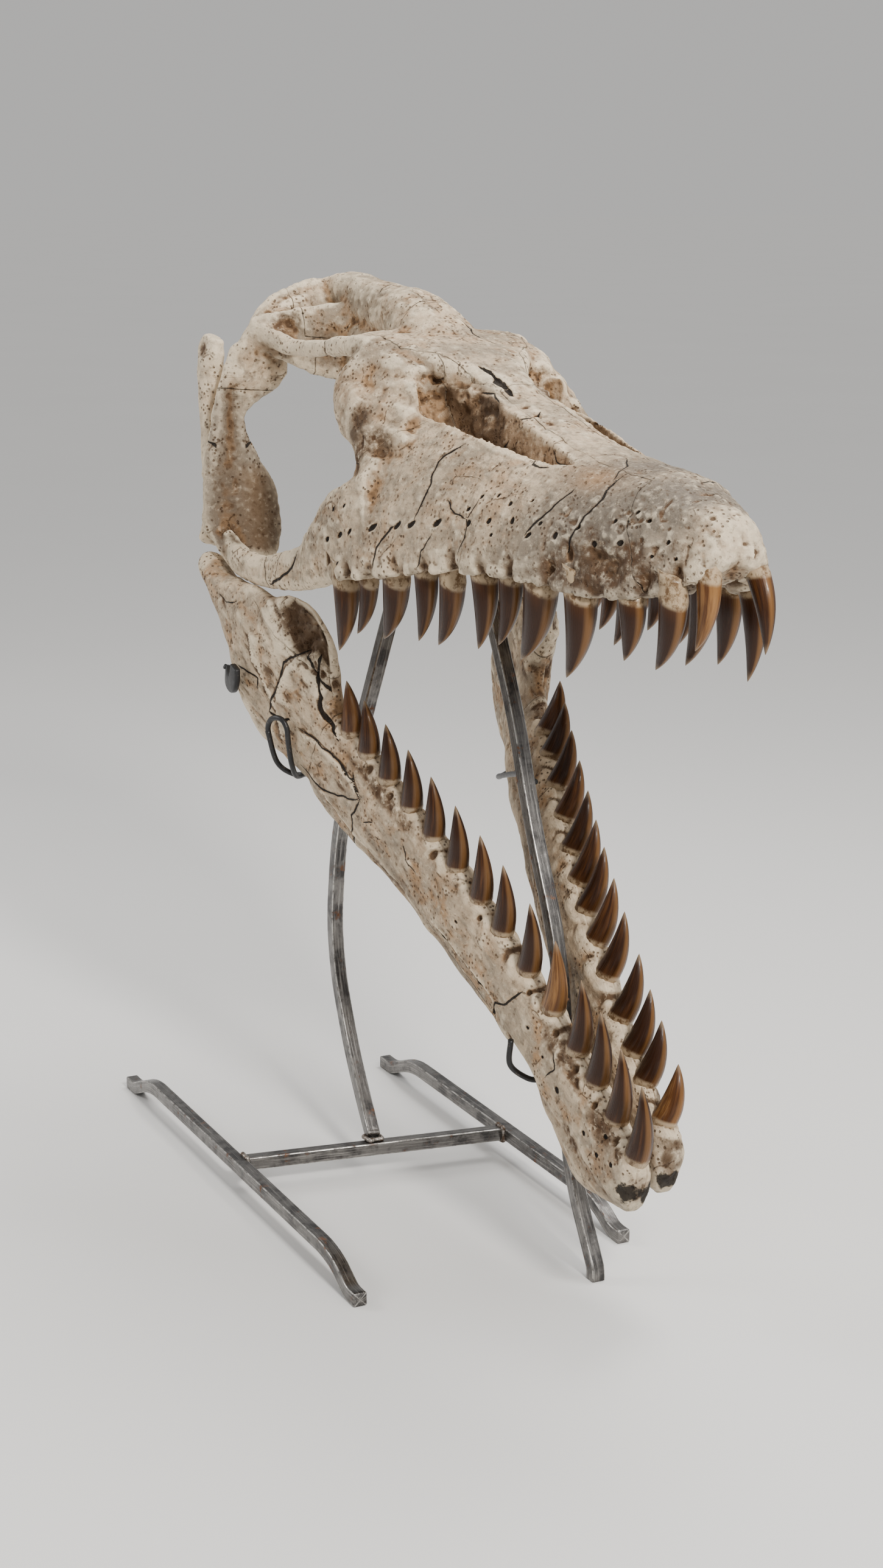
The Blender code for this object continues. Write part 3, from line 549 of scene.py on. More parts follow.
# seen from the side: side, strength, then (along, above) in mm from one end of the crack to the other
CHEEK_CRACKS = metres(MM, (
    ("R", 1.0, ((380, 106), (366, 94), (368, 85), (371, 77), (372, 65), (368, 47))),
    ("R", 1.0, ((341, 42), (329, 34), (323, 24), (320, 14), (317, 4))),
    ("R", 0.9, ((527, 71), (520, 56), (513, 47), (503, 36))),
    ("R", 0.9, ((557, 78), (566, 62), (559, 49), (554, 36), (549, 24))),
    ("R", 0.5, ((437, 64), (431, 48), (436, 34), (431, 20))), ("R", 0.5, ((402, 63), (416, 52), (431, 48))),
    ("R", 0.5, ((396, 36), (386, 24), (380, 8))), ("R", 0.5, ((455, 98), (463, 88), (480, 86))),
    ("R", 0.6, ((262, 12), (244, 4), (232, -10))),
    ("R", 1.0, ((172, 16), (162, 4), (150, -2), (128, -8), (112, -12))),
    ("R", 0.6, ((128, 204), (138, 192), (134, 180))), ("R", 0.5, ((-14, 118), (4, 108), (10, 94))),
    ("R", 0.5, ((100, 12), (108, -2), (104, -16))),
    ("L", 1.0, ((352, 118), (344, 98), (350, 76), (341, 52), (346, 30), (338, 6))),
    ("L", 0.8, ((472, 96), (480, 74), (470, 52), (476, 30))),
    ("L", 0.7, ((560, 76), (548, 56), (556, 36), (546, 12))),
    ("L", 0.6, ((270, 100), (284, 80), (276, 60), (290, 40))),
    ("L", 0.6, ((130, 203), (122, 190), (128, 178))), ("L", 0.5, ((-16, 96), (4, 86), (18, 90))),
    ("L", 0.5, ((120, 14), (112, -2), (118, -16)))))
# seen from above: strength, then (along, aside) in mm
ROOF_CRACKS = metres(MM, (
    (0.6, ((330, -26), (345, -21), (362, -26))), (0.7, ((395, -6), (402, -18), (396, -32))),
    (0.6, ((205, 12), (222, 20), (240, 18), (262, 26))), (0.5, ((120, -20), (112, -4), (118, 14))),
    (0.6, ((520, 0), (540, -12), (556, -34))), (0.5, ((610, 10), (600, 28), (612, 46)))))
# an open split beside the middle of the roof, seen from above
ROOF_SLOT = metres(MM, ((304, -17), (318, -12), (334, -13), (348, -10), (362, -13)))
ROOF_SLOT_HALF = 0.0024
# openings for nerves, seen from the side: along, above, half length, half height in tenths of a mm
PORE_SLANT = math.radians(28)
FORAMINA = metres(TENTH, (
    (2420, 300, 30, 20), (2620, 340, 40, 22), (2780, 370, 34, 18), (3110, 410, 62, 24), (3460, 430, 52, 22),
    (3660, 440, 48, 24), (3980, 450, 46, 26), (4350, 450, 26, 24), (4570, 470, 20, 24), (4840, 470, 22, 26),
    (5070, 360, 30, 18), (5160, 450, 18, 14), (5360, 360, 24, 30), (5570, 420, 20, 18), (5750, 300, 22, 22),
    (6000, 300, 24, 18), (2520, 550, 22, 13), (2700, 580, 24, 14), (4290, 560, 18, 16), (4380, 650, 18, 16),
    (4720, 600, 18, 18), (4550, 660, 14, 16), (4660, 360, 15, 13), (4940, 620, 13, 13), (6060, 520, 16, 13),
    (6180, 460, 15, 14), (5900, 460, 18, 14), (6400, 300, 16, 13), (6480, 180, 16, 12), (6280, 200, 14, 12)))
# along, aside, above, reach, depth of the eaten-out places, in tenths of a mm
ROTTEN_PLACES = metres(TENTH, (
    (5350, -790, 120, 80, 55), (5520, -730, 220, 85, 50), (5600, -720, 60, 60, 45),
    (5800, -660, 200, 100, 60), (5970, -600, 100, 90, 55), (6120, -540, 220, 90, 30),
    (6250, -480, 40, 70, 40), (5720, -670, 400, 70, 25), (2590, -1040, 1300, 100, 50),
    (2720, -1040, 1080, 100, 50), (2620, -1100, 900, 110, 30), (2900, -1000, 1120, 90, 15),
    (3780, -120, 1320, 42, 40), (3990, -120, 1260, 36, 35), (4190, -110, 1220, 42, 40),
    (4390, -130, 1170, 36, 30), (400, -280, 2120, 110, 50), (340, -740, 2140, 100, 50),
    (100, -400, 2360, 70, 20), (0, -600, 2320, 70, 20), (2580, 1020, 1320, 90, 45),
    (5800, 640, 120, 100, 40), (5240, 810, 120, 80, 40), (400, 300, 2120, 110, 50)))
# along, aside, above at the gum, along and above at the tip, half the length at the gum, in tenths of
# a mm, and the crown's tone, from honey at 0 to a dark chestnut at 1
UPPER_TEETH = metres(TENTH, {
    "R": (
        (2510, 1220, -50, 2290, -650, 137, 0.45), (2890, 1170, -30, 2580, -500, 98, 0.55),
        (3280, 1100, 0, 2970, -530, 140, 0.85), (3720, 1040, 60, 3520, -530, 119, 0.6),
        (4040, 960, 0, 3720, -560, 130, 0.6), (4440, 880, 40, 4280, -570, 130, 0.75),
        (4760, 810, 40, 4500, -530, 116, 0.7), (5090, 720, 0, 4700, -640, 165, 0.85),
        (5520, 620, -80, 5240, -760, 153, 1.0), (6020, 470, -110, 5870, -600, 125, 0.85)),
    "L": (
        (2500, 1220, -50, 2300, -550, 120, 0.5), (2880, 1170, -30, 2560, -650, 125, 0.35),
        (3260, 1110, 0, 2920, -760, 140, 0.45), (3640, 1050, 50, 3340, -580, 120, 0.6),
        (4020, 970, 20, 3750, -570, 130, 0.5), (4400, 890, 40, 4120, -600, 120, 0.6),
        (4760, 810, 30, 4490, -640, 130, 0.4), (5130, 710, -20, 4780, -770, 150, 0.55),
        (5740, 530, -100, 5560, -700, 130, 0.6)),
})
PREMAXILLARY_TEETH = metres(TENTH, {
    "R": ((6410, 350, -100, 6120, -660, 130, 0.75), (6640, 190, 60, 6420, -510, 110, -0.1)),
    "L": ((6350, 350, -100, 6260, -770, 115, 0.7), (6660, 210, 40, 6730, -540, 105, 0.45)),
})
TOOTH_FLATNESS = 0.8
# the cheek's upright blade: how far aside it stands, and its half widths at these heights, in mm
BLADE_ASIDE = metres(MM, 119)
BLADE_ABOVE = metres(MM, (0, 29, 53, 76, 98, 120, 144, 181))
BLADE_HALF = metres(MM, (28, 38, 40, 34, 27, 19, 16, 28))
# along, aside, above, reach in mm and strength of the painted shade in these hollows
SHADED_HOLLOWS = metres(MM, (
    (264, -108, 128, 11, 1.0), (258, -110, 116, 8, 1.0), (296, -100, 108, 13, 0.5), (264, 106, 126, 10, 0.8),
    (46, -40, 196, 16, 0.7), (46, 40, 196, 16, 0.7), (30, -86, 196, 14, 0.5), (575, -70, 18, 12, 0.7),
    (598, -62, 12, 8, 0.7)))
# height, size, seed and stretch of the lumps on the cranium
CRANIUM_LUMPS = ((0.0014, 0.042, 1, 1), (0.0011, 0.017, 2, 1), (0.0006, 0.0075, 3, 1),
                 (0.0005, 0.0045, 4, 0.16), (0.00035, 0.0038, 16, 1))

room = points_of(cranium)
outward = points_of(cranium, "normal")
spot = from_cranium(room)
along, aside, above = spot.T
flank = step(np.abs(outward[:, 1]), 0.25, 0.6)

relief = lumpy(spot, CRANIUM_LUMPS)
sponge = step(along, 0.46, 0.58) * step(above, 0.085, 0.055)
relief += sponge * (0.0005 * lumps(spot, 0.0050, 5) - 0.0012 * step(lumps(spot, 0.0065, 6), 0.35, 0.75))
knobs = near(np.abs(spot), (0.232, 0.094, 0.140), (0.040, 0.030, 0.034))
relief += knobs * lumpy(spot, ((0.0012, 0.0130, 8, 1), (0.0005, 0.0060, 9, 1)))


def sockets(spot, bases, tips, half_lengths):
    """How near each point is to the raised lip round a tooth, and to the root that swells the bone, 0 to 1.

    Both fall off as bells of the distance from the tooth's own axis, and fade up the jaw.
    """
    lip, root = np.zeros(len(spot)), np.zeros(len(spot))
    for base, tip, half in zip(np.asarray(bases, float), np.asarray(tips, float), half_lengths):
        up = unit(base - tip)
        off = spot - base
        rise = off @ up
        away = np.linalg.norm(off - rise[:, None] * up, axis=1)
        lip = np.maximum(lip, bell(away - 1.15 * half, 0.0045) * step(np.abs(rise), 0.011, 0.004))
        root = np.maximum(root, bell(away, 1.35 * half) * step(rise, 0.042, 0.004) * step(rise, -0.008, 0.0))
    return lip, root


rows = [(side, row) for name, side in SIDES.items() for row in UPPER_TEETH[name] + PREMAXILLARY_TEETH[name]]
lip, root = sockets(spot, [(row[0], side * row[1], row[2]) for side, row in rows],
                    [(row[3], side * row[1], row[4]) for side, row in rows], [row[5] for _, row in rows])
gum_height = np.interp(along, *np.array([(row[0], row[2]) for row in MUZZLE[::-1]]).T)
gum_band = step(above, gum_height + 0.014, gum_height + 0.001) * (np.abs(aside) > 0.012) * (along > 0.235)
between = gum_band * (1 - step(lip + root, 0.10, 0.55))
relief += 0.0012 * lip + 0.0026 * root * flank - 0.0036 * between
relief += 0.0006 * gum_band * lumps(spot, 0.0070, 10)
gum_pits = np.zeros(len(spot))
draw = np.random.default_rng(21)
for name, side in SIDES.items():
    row = sorted(UPPER_TEETH[name] + PREMAXILLARY_TEETH[name])
    for one, two in zip(row, row[1:]):
        size, push, lift = draw.uniform((0.35, -0.0035, 0.001), (1.25, 0.0035, 0.009))
        place = ((one[0] + two[0]) / 2 + push, side * ((one[1] + two[1]) / 2 + 0.006),
                 (one[2] + two[2]) / 2 + lift)
        gum_pits = np.maximum(gum_pits, size * near(spot, place, (0.0050, 0.016, 0.0105 * size)))
relief -= 0.0048 * gum_pits * (1 + 0.5 * lumps(spot, 0.0050, 15))
ragged = 1 + 0.6 * lumps(spot, 0.0052, 7)
for *place, reach, depth in ROTTEN_PLACES:
    relief -= depth * ragged * near(spot, place, reach)

pores = np.zeros(len(spot))
slant = np.array([[math.cos(PORE_SLANT), math.sin(PORE_SLANT)],
                  [-math.sin(PORE_SLANT), math.cos(PORE_SLANT)]])
for at, high, *halves in FORAMINA:
    for side, shift in ((-1.0, 0.0), (1.0, 0.009)):
        off = slant @ [along - at - shift, above - high] / np.array(halves)[:, None]
        pores = np.maximum(pores, np.where(aside * side > 0.006, 2.0 - np.hypot(*off), 0.0))
slot = open_split(along, aside, wandering(ROOF_SLOT, 0.005, 0.0022, 17), ROOF_SLOT_HALF, 18, 0.2, 0.7)
pores = np.clip(np.maximum(pores, np.where(outward[:, 2] > 0.2, slot, 0)), 0, 2)
relief -= 0.0022 * step(pores, 0.5, 1.6)

cracks = np.full(len(spot), 0.01)
crack_share = np.zeros(len(spot))


def add_crack(near_side, a, b, route, strength, seed):
    """Keeps the nearest crack's signed distance for each point, and how strongly it shows there."""
    path = wandering(route, 0.0034, 0.0013, seed)
    low, high = path.min(0) - 0.006, path.max(0) + 0.006
    pick = np.flatnonzero(near_side & (a > low[0]) & (a < high[0]) & (b > low[1]) & (b < high[1]))
    if not len(pick):
        return
    away, done = route_distance(a[pick], b[pick], path)
    fade = step(done, 0.0, 0.12) * step(done, 1.0, 0.80)
    nearer = np.abs(away) < np.abs(cracks[pick])
    pick, away, fade = pick[nearer], away[nearer], fade[nearer]
    cracks[pick] = away
    crack_share[pick] = strength * (0.35 + 0.65 * fade) * step(np.abs(away), 0.0040, 0.0022) * (fade > 0)


for seed, (name, strength, route) in enumerate(CHEEK_CRACKS):
    near_side = (aside * SIDES[name] > 0.02) & (np.abs(outward[:, 1]) > 0.15)
    add_crack(near_side, along, above, route, strength, seed)
for seed, (strength, route) in enumerate(ROOF_CRACKS):
    add_crack(outward[:, 2] > 0.3, along, aside, route, strength, 40 + seed)
relief -= 0.0011 * crack_share * bell(cracks, 0.0014)

# inside the naris: how deep, and how far towards its rotten rear end
at, *shape = smooth_path(NARIS, 6).T
rim, middle, wide, deep = (np.interp(along, at, column) for column in shape)
in_naris = step(np.hypot((np.abs(aside) - rim) / wide, (above - middle) / deep), 1.35, 1.02)
in_naris *= step(along, 0.276, 0.290) * step(along, 0.500, 0.470)
in_depth = in_naris * step(np.abs(aside), rim + 0.008, rim - 0.004)
in_rear = in_depth * step(along, 0.385, 0.350)
relief += in_rear * lumpy(spot, ((0.0032, 0.0100, 11, 1), (0.0016, 0.0048, 12, 1)))
relief += 0.0006 * (in_depth - in_rear) * lumps(spot, 0.0050, 14)

# across the cheek's upright blade, -1 at its inner edge and 1 at its outer rim
blade_across = (np.abs(aside) - BLADE_ASIDE) / np.interp(above, BLADE_ABOVE, BLADE_HALF)
blade = step(along, 0.050, 0.030) * step(above, 0.170, 0.145) * step(above, 0.006, 0.020)
blade *= (np.abs(aside) > 0.07) * step(outward[:, 0], 0.1, 0.5)
gutter = blade * bell(blade_across - 0.25, 0.34)
plate = blade * bell(blade_across + 0.45, 0.40) * step(above, 0.095, 0.075)
relief += 0.0012 * plate - 0.0036 * gutter + 0.0014 * blade * bell(blade_across - 0.88, 0.18)

# How brown each place is: the eaten-out places and the patches by the gum, and painted shade in the notches
# between the teeth and deep in the naris.
rotten = sum(near(spot, place, 1.3 * reach) for *place, reach, _ in ROTTEN_PLACES)
rotten += 0.8 * near(spot, (0.575, -0.065, 0.010), (0.050, 0.03, 0.018)) + 0.75 * between + 0.6 * in_rear
rotten += 0.7 * near(spot, (0.545, 0.074, 0.004), (0.05, 0.03, 0.013)) + 0.35 * (in_depth - in_rear)
# Painted shade on the lower part of the naris's inside wall, towards its front.
under = in_depth * step(above, middle - 0.3 * deep, middle - 0.8 * deep) * step(along, 0.43, 0.39)
flakes = near(spot, (0.535, -0.036, 0.077), (0.026, 0.016, 0.014))
flakes += 0.6 * near(spot, (0.225, -0.096, 0.150), (0.03, 0.03, 0.02))
# How dark each place is painted: painted shade in the gum pits, in the notches between the teeth, on the
# cheek's blade and in the listed hollows, brown mottling along the gum, and in the naris's rear dark patches
# that are partly brown rock and partly painted shade.
dark = np.max([
    0.85 * in_rear * step(lumps(spot, 0.0110, 13), -0.55, 0.20), 0.8 * under, 0.85 * np.clip(gum_pits, 0, 1),
    np.maximum(0.70 * between, 0.42 * gum_band) * step(lumps(spot, 0.0075, 15), -0.30, 0.30),
    0.12 * plate + 0.30 * gutter + 0.14 * blade,
    *(strength * near(spot, place, reach) for *place, reach, strength in SHADED_HOLLOWS)], axis=0)


def kept(piece, domain, fields):
    """Stores the fields on the piece's points, or on its faces' corners, where a cut keeps them."""
    corner = np.empty(len(piece.data.loops), np.int32)
    piece.data.loops.foreach_get("vertex_index", corner)
    for name, values in fields.items():
        values = np.asarray(values, np.float32)
        kind, key = ("FLOAT_VECTOR", "vector") if values.ndim == 2 else ("FLOAT", "value")
        made = piece.data.attributes.new(name, kind, domain).data
        made.foreach_set(key, (values[corner] if domain == "CORNER" else values).ravel())


def weathered(piece, room, outward, relief, **fields):
    """Moves the surface out by the relief and keeps the fields, with how hollow each place is."""
    room = room + relief[:, None] * outward
    piece.data.vertices.foreach_set("co", np.asarray(room, np.float32).ravel())
    piece.data.update()
    normals = points_of(piece, "normal")
    blank = {name: np.zeros(len(room)) for name in ("pore", "pale", "warm", "dark", "snout", "crack_share")}
    far_off = np.full(len(room), 10.0)
    kept(piece, "CORNER", {**blank, "crack": far_off, **fields, "seam": far_off,
                           "fine_hollow": 1000 * hollows(piece, room, normals, 4),
                           "broad_hollow": 1000 * hollows(piece, room, normals, 60)})


# The snout's smoky grey is also laid on the cheek's blade, where it is painted shade.
weathered(cranium, room, outward, relief, rotten=rotten, pore=pores, pale=0.15 * lip, dark=dark,
          warm=np.clip(0.75 * in_naris + 0.9 * flakes + 0.6 * plate, 0, 1), crack=1000 * cracks,
          crack_share=crack_share,
          snout=np.maximum(step(along, 0.44, 0.56) * (1 - 0.7 * step(along, 0.635, 0.665)), 0.85 * blade))


# Sutures: closed outlines, seen from the side or from above, that take one bone after another
# out of the whole. Their edges wander, as living sutures do.

FAR = 0.30
CHEEK_LINE = 0.040
SUTURE_GAP = 0.0002
SUTURE_SPACING = 0.004
SUTURE_SWING = 0.0012
BLOCK_POINTS = 30000
# each bone in the order of parting, with its first seed
PARTING = {
    "premaxilla": 100, "frontal": 110, "prefrontal_R": 120, "prefrontal_L": 121, "parietal": 130,
    "postorbital_R": 140, "jugal_R": 150, "pterygoid_R": 160, "postorbital_L": 141, "jugal_L": 151,
    "pterygoid_L": 161, "braincase": 170, "palate": 180, "maxilla_R": 190, "maxilla_L": 191,
}
# the outlines of a bone or of a pair: corners in tenths of a mm, reach aside or upwards, and where each
# is seen from
SUTURES = metres(TENTH, {
    "premaxilla": ((((6350, -500), (7500, -500), (7500, 1500), (5650, 1500)), -FAR, FAR, "side"),
                   (((3450, -170), (6200, -210), (6200, 210), (3450, 170)), 550, 2500, "top")),
    "frontal": ((((1880, -660), (2500, -600), (2850, -340), (3650, -120), (3650, 120), (2850, 340),
                  (2500, 600), (1880, 660)), 1500, 2500, "top"),),
    "prefrontal": ((((1780, 1000), (2620, 920), (3150, 1250), (3000, 2200), (1860, 2200)),
                    CHEEK_LINE, 1400, "side"),),
    "parietal": ((((-500, 2120), (1900, 1900), (1897, 3000), (-500, 3000)), -600, 600, "side"),),
    "postorbital": ((((-600, 1550), (1600, 1550), (2200, 1720), (2200, 2800), (-600, 2800)),
                     520, 2000, "side"),),
    "jugal": ((((-600, -600), (1650, -600), (2050, 700), (1000, 1580), (-600, 1580)), 550, 2000, "side"),),
    "pterygoid": ((((1000, -200), (2320, -200), (2320, 1000), (1000, 1180)), SUTURE_GAP, 950, "side"),),
    "braincase": ((((-600, 1000), (2150, 1000), (2150, 2400), (-600, 2400)), -1300, 1300, "side"),),
    "palate": ((((2000, -880), (4500, -600), (6000, -220), (6000, 220), (4500, 600), (2000, 880)),
                -500, 450, "top"),),
    "maxilla": ((((1500, -1000), (7500, -1000), (7500, 3000), (1500, 3000)), SUTURE_GAP / 2, FAR, "side"),),
})


def reshaped(mesh, change):
    """The mesh after this change to it as a bmesh."""
    shape = bmesh.new()
    shape.from_mesh(mesh)
    change(shape)
    shape.to_mesh(mesh)
    shape.free()
    return mesh


def prism(place_in, outline, low, high, seen_from):
    """The outline carried from low to high: aside for one seen from the side, upwards for one from above."""
    up, over = (1, 2) if seen_from == "top" else (2, 1)
    around = len(outline)
    rings = np.empty((2, around, 3))
    rings[:, :, 0] = outline[:, 0]
    rings[:, :, up] = outline[:, 1]
    rings[:, :, over] = np.array([low, high])[:, None]
    place = np.arange(around)
    beside = np.roll(place, -1)
    walls = np.vstack([np.stack([place, beside, beside + around], -1),
                       np.stack([place, beside + around, place + around], -1)])
    block = piece_of("block", place_in(rings).reshape(-1, 3), [*walls, place[::-1], place + around])

    def closed_up(shape):
        bmesh.ops.recalc_face_normals(shape, faces=shape.faces)
        bmesh.ops.triangulate(shape, faces=shape.faces)

    reshaped(block.data, closed_up)
    return block


def fattened(block, by):
    """A copy of a block with every face moved out by the same distance."""

    def moved_out(shape):
        shape.normal_update()
        moves = [vert.normal * vert.calc_shell_factor() * by for vert in shape.verts]
        for vert, move in zip(shape.verts, moves):
            vert.co += move

    return placed(block.name, reshaped(block.data.copy(), moved_out))


def largest_piece(piece):
    """Drops the crumbs beside the bone: points are numbered by the lowest number that edges lead to."""
    one, two = edges_of(piece.data)
    group = np.arange(len(piece.data.vertices))
    before = None
    while before is None or (group != before).any():
        lowest = np.minimum(group[one], group[two])
        before = group.copy()
        np.minimum.at(group, one, lowest)
        np.minimum.at(group, two, lowest)
        group = group[group]
    keep = np.bincount(group).argmax()
    if (group != keep).any():
        reshaped(piece.data, lambda shape: bmesh.ops.delete(
            shape, geom=[vert for vert, at in zip(shape.verts, group) if at != keep], context="VERTS"))
    return piece


def outline_depth(a, b, reach, outline, low, high):
    """Signed distance to the carried outline, negative inside it."""
    closed = np.vstack([outline, outline[:1]])
    away = np.abs(route_distance(a, b, closed)[0])
    one, two = closed[:-1], closed[1:]
    rise = np.where(two[:, 1] == one[:, 1], 1e-9, two[:, 1] - one[:, 1])
    crossings = ((one[:, 1] > b[:, None]) != (two[:, 1] > b[:, None])) & (
        a[:, None] < (two[:, 0] - one[:, 0]) * (b[:, None] - one[:, 1]) / rise + one[:, 0])
    return np.maximum(np.where(crossings.sum(1) % 2 == 1, -away, away), np.maximum(low - reach, reach - high))


def mark_seam(piece, place_back, regions):
    """Updates the nearest suture's signed distance, in millimetres, round these regions' edges."""
    spot = place_back(points_of(piece))
    depth = np.full(len(spot), 1.0)
    for outline, low, high, seen_from in regions:
        a, b, reach = spot[:, [0, 1, 2] if seen_from == "top" else [0, 2, 1]].T
        box_low, box_high = outline.min(0) - 0.006, outline.max(0) + 0.006
        pick = np.flatnonzero((a > box_low[0]) & (a < box_high[0]) & (b > box_low[1]) & (b < box_high[1])
                              & (reach > low - 0.006) & (reach < high + 0.006))
        for part in np.array_split(pick, max(1, len(pick) // BLOCK_POINTS)):
            found = outline_depth(a[part], b[part], reach[part], outline, low, high)
            depth[part] = np.minimum(depth[part], found)
    corner = np.empty(len(piece.data.loops), np.int32)
    piece.data.loops.foreach_get("vertex_index", corner)
    stored = np.empty(len(corner), np.float32)
    seam = piece.data.attributes["seam"].data
    seam.foreach_get("value", stored)
    fresh = 1000 * depth[corner]
    seam.foreach_set("value", np.where(np.abs(fresh) < np.abs(stored), fresh, stored).astype(np.float32))


bones = {}


def parted(whole, place_in, place_back, name, seed, side, outlines):
    """Marks the sutures, takes the bone inside the outlines out of the whole and leaves a fine gap."""
    regions = [(wandering(corners, SUTURE_SPACING, SUTURE_SWING, seed + k, closed=True),
                *(sorted((side * low, side * high)) if seen_from == "side" else (low, high)), seen_from)
               for k, (corners, low, high, seen_from) in enumerate(outlines)]
    mark_seam(whole, place_back, regions)
    blocks = [prism(place_in, *region) for region in regions]
    wide = [fattened(block, SUTURE_GAP) for block in blocks]
    for other, wider in zip(blocks[1:], wide[1:]):
        carved(blocks[0], other, "UNION")
        carved(wide[0], wider, "UNION")
    bones[name] = largest_piece(carved(placed(name, whole.data.copy()), blocks[0], "INTERSECT"))
    carved(whole, wide[0], "DIFFERENCE")
    for block in blocks + wide:
        bpy.data.objects.remove(block)


for name, seed in PARTING.items():
    kind, _, letter = name.partition("_")
    parted(cranium, in_cranium, from_cranium, name, seed, SIDES.get(letter, 1.0), SUTURES[kind])
bpy.data.objects.remove(cranium)


# Bone paint: ivory to drab grey in large clouds, ochre and umber as painted shade in the hollows, cream
# as a painted highlight on the bulges and ridges, dark pits and hairline cracks, chalky patches, and a fine
# dry grain that runs along the bone.

IVORY = (0.54, 0.42, 0.29, 1)
CREAM = (0.86, 0.73, 0.54, 1)
DRAB = (0.245, 0.197, 0.142, 1)
TAN = (0.34, 0.20, 0.098, 1)
UMBER = (0.070, 0.036, 0.017, 1)
SLATE = (0.125, 0.106, 0.086, 1)
MATRIX_AND_SHADE = (0.075, 0.043, 0.022, 1)
SOOT = (0.010, 0.007, 0.005, 1)


def bone_paint(name, pitch, warmth):
    """Bone whose grain runs along a skull or jaw that is pitched up by this angle."""
    paint = Paint(name)
    eased, plus, times, math_of = paint.eased, paint.plus, paint.times, paint.math
    cloud = paint.grain(11, 5, 0.6, 0.4)
    patch = paint.grain(32, 7, 0.62, 0.6)
    mottle = paint.grain(85, 5, 0.6, 0.5)
    speck = paint.grain(190, 6, 0.65)
    level = paint.node("Mapping", {"Vector": paint.place, "Rotation": (0, pitch, 0)})
    streak = paint.grain(3.2, 6, 0.65, 0.3, on=paint.drawn(level, (9, 60, 60)))
    fine, broad, rotten, dark, pore, crack_share = map(
        paint.field, ("fine_hollow", "broad_hollow", "rotten", "dark", "pore", "crack_share"))
    patch_and_speck = plus(patch, speck)

    pits = paint.node("TexVoronoi", {"Vector": paint.place, "Scale": 230.0}, "Distance")
    pitted = times(eased(pits, 0.32, 0.15), eased(patch, 0.43, 0.56))
    bent = paint.node("VectorMath", {0: paint.grain(60.0, 4.0, 0.5, out="Color"), 1: (0.012, 0.012, 0.012),
                                     2: paint.place}, operation="MULTIPLY_ADD")
    web = paint.node("TexVoronoi", {"Vector": bent, "Scale": 21.0}, "Distance", feature="DISTANCE_TO_EDGE")
    hair = times(eased(web, 0.016, 0.004), eased(patch, 0.53, 0.61))

    jitter = times(plus(paint.grain(330, 4, 0.7), -0.5), 1.3)
    wide = times(plus(times(eased(crack_share, 0.10, 0.95), 0.95), 0.22), plus(patch, 0.35))
    off = math_of("ABSOLUTE", plus(paint.field("crack"), jitter))
    split = times(eased(math_of("SUBTRACT", off, wide), 0.10, -0.18), eased(crack_share, 0.03, 0.30))
    seam = eased(math_of("ABSOLUTE", plus(paint.field("seam"), jitter)), 0.60, 0.15)
    seam = times(seam, times(eased(patch, 0.40, 0.56), 0.48))
    bore = eased(plus(pore, times(plus(paint.grain(210, 3, 0.6), -0.5), 1.1)), 0.85, 1.15)
    line = math_of("MAXIMUM", math_of("MAXIMUM", split, seam), times(bore, eased(pore, 0.3, 0.6)))

    smoky = times(paint.field("snout"), eased(cloud, 0.22, 0.52))
    sunk = math_of("MINIMUM", times(eased(broad, 0.15, 1.5), plus(patch, 0.40)), 0.90)
    # Umber over the eaten-out places and as painted shade between the teeth and deep in the naris; then dark
    # brown wherever the dark field asks, mostly painted shade in hollows, notches and on the cheek's blade.
    dirt_and_shade = times(eased(rotten, 0.20, 0.85), eased(patch_and_speck, 0.72, 1.10))
    shade_and_stain = plus(times(dark, eased(patch_and_speck, 0.62, 0.95)), times(dark, 0.35))
    # Painted shade: tan in the broad hollows and umber in the fine ones; painted highlight: cream on the
    # broad bulges and the fine ridges.
    tone = paint.layered(IVORY, (
        (eased(cloud, 0.42, 0.62), 0.80, DRAB), (eased(patch, 0.46, 0.64), 0.35 + 0.5 * warmth, TAN),
        (eased(streak, 0.50, 0.70), 0.55, DRAB), (eased(mottle, 0.50, 0.62), 0.62, DRAB),
        (eased(broad, -0.30, -1.3), 0.50, CREAM), (eased(paint.field("pale"), 0.15, 0.8), 0.75, CREAM),
        (smoky, 0.80, SLATE), (paint.field("warm"), 0.80, TAN), (sunk, 1, TAN),
        (eased(fine, 0.05, 0.36), 0.85, UMBER), (eased(fine, -0.08, -0.34), 0.32, CREAM), (dirt_and_shade, 0.90, UMBER),
        (eased(speck, 0.54, 0.70), 0.62, UMBER), (eased(speck, 0.46, 0.32), 0.28, CREAM),
        (math_of("MINIMUM", shade_and_stain, 0.94), 1, MATRIX_AND_SHADE), (pitted, 0.80, UMBER), (hair, 0.70, UMBER),
        (line, 0.96, SOOT)))
    height = times(speck, 0.95)
    for share, rise in ((streak, 0.75), (patch, 1.6), (pitted, -0.8), (hair, -0.6), (line, -1.4)):
        height = plus(height, times(share, rise))
    paint.finish(height, 0.0015, Base_Color=tone, Roughness=eased(speck, -0.6, 1.3), Specular_IOR_Level=0.18)
    return paint


def finished(piece, paint, node=None):
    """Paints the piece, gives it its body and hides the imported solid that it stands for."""
    piece.data.materials.clear()
    piece.data.materials.append(paint.material)
    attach(piece, "root")
    if node:
        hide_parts(node)


def finished_bone(bone, node, paint):
    """Names the bone after the solid that it stands for, smooths its faces and finishes it."""
    bone.name = "fossil_" + node
    bone.data.polygons.foreach_set("use_smooth", [True] * len(bone.data.polygons))
    finished(bone, paint, node)


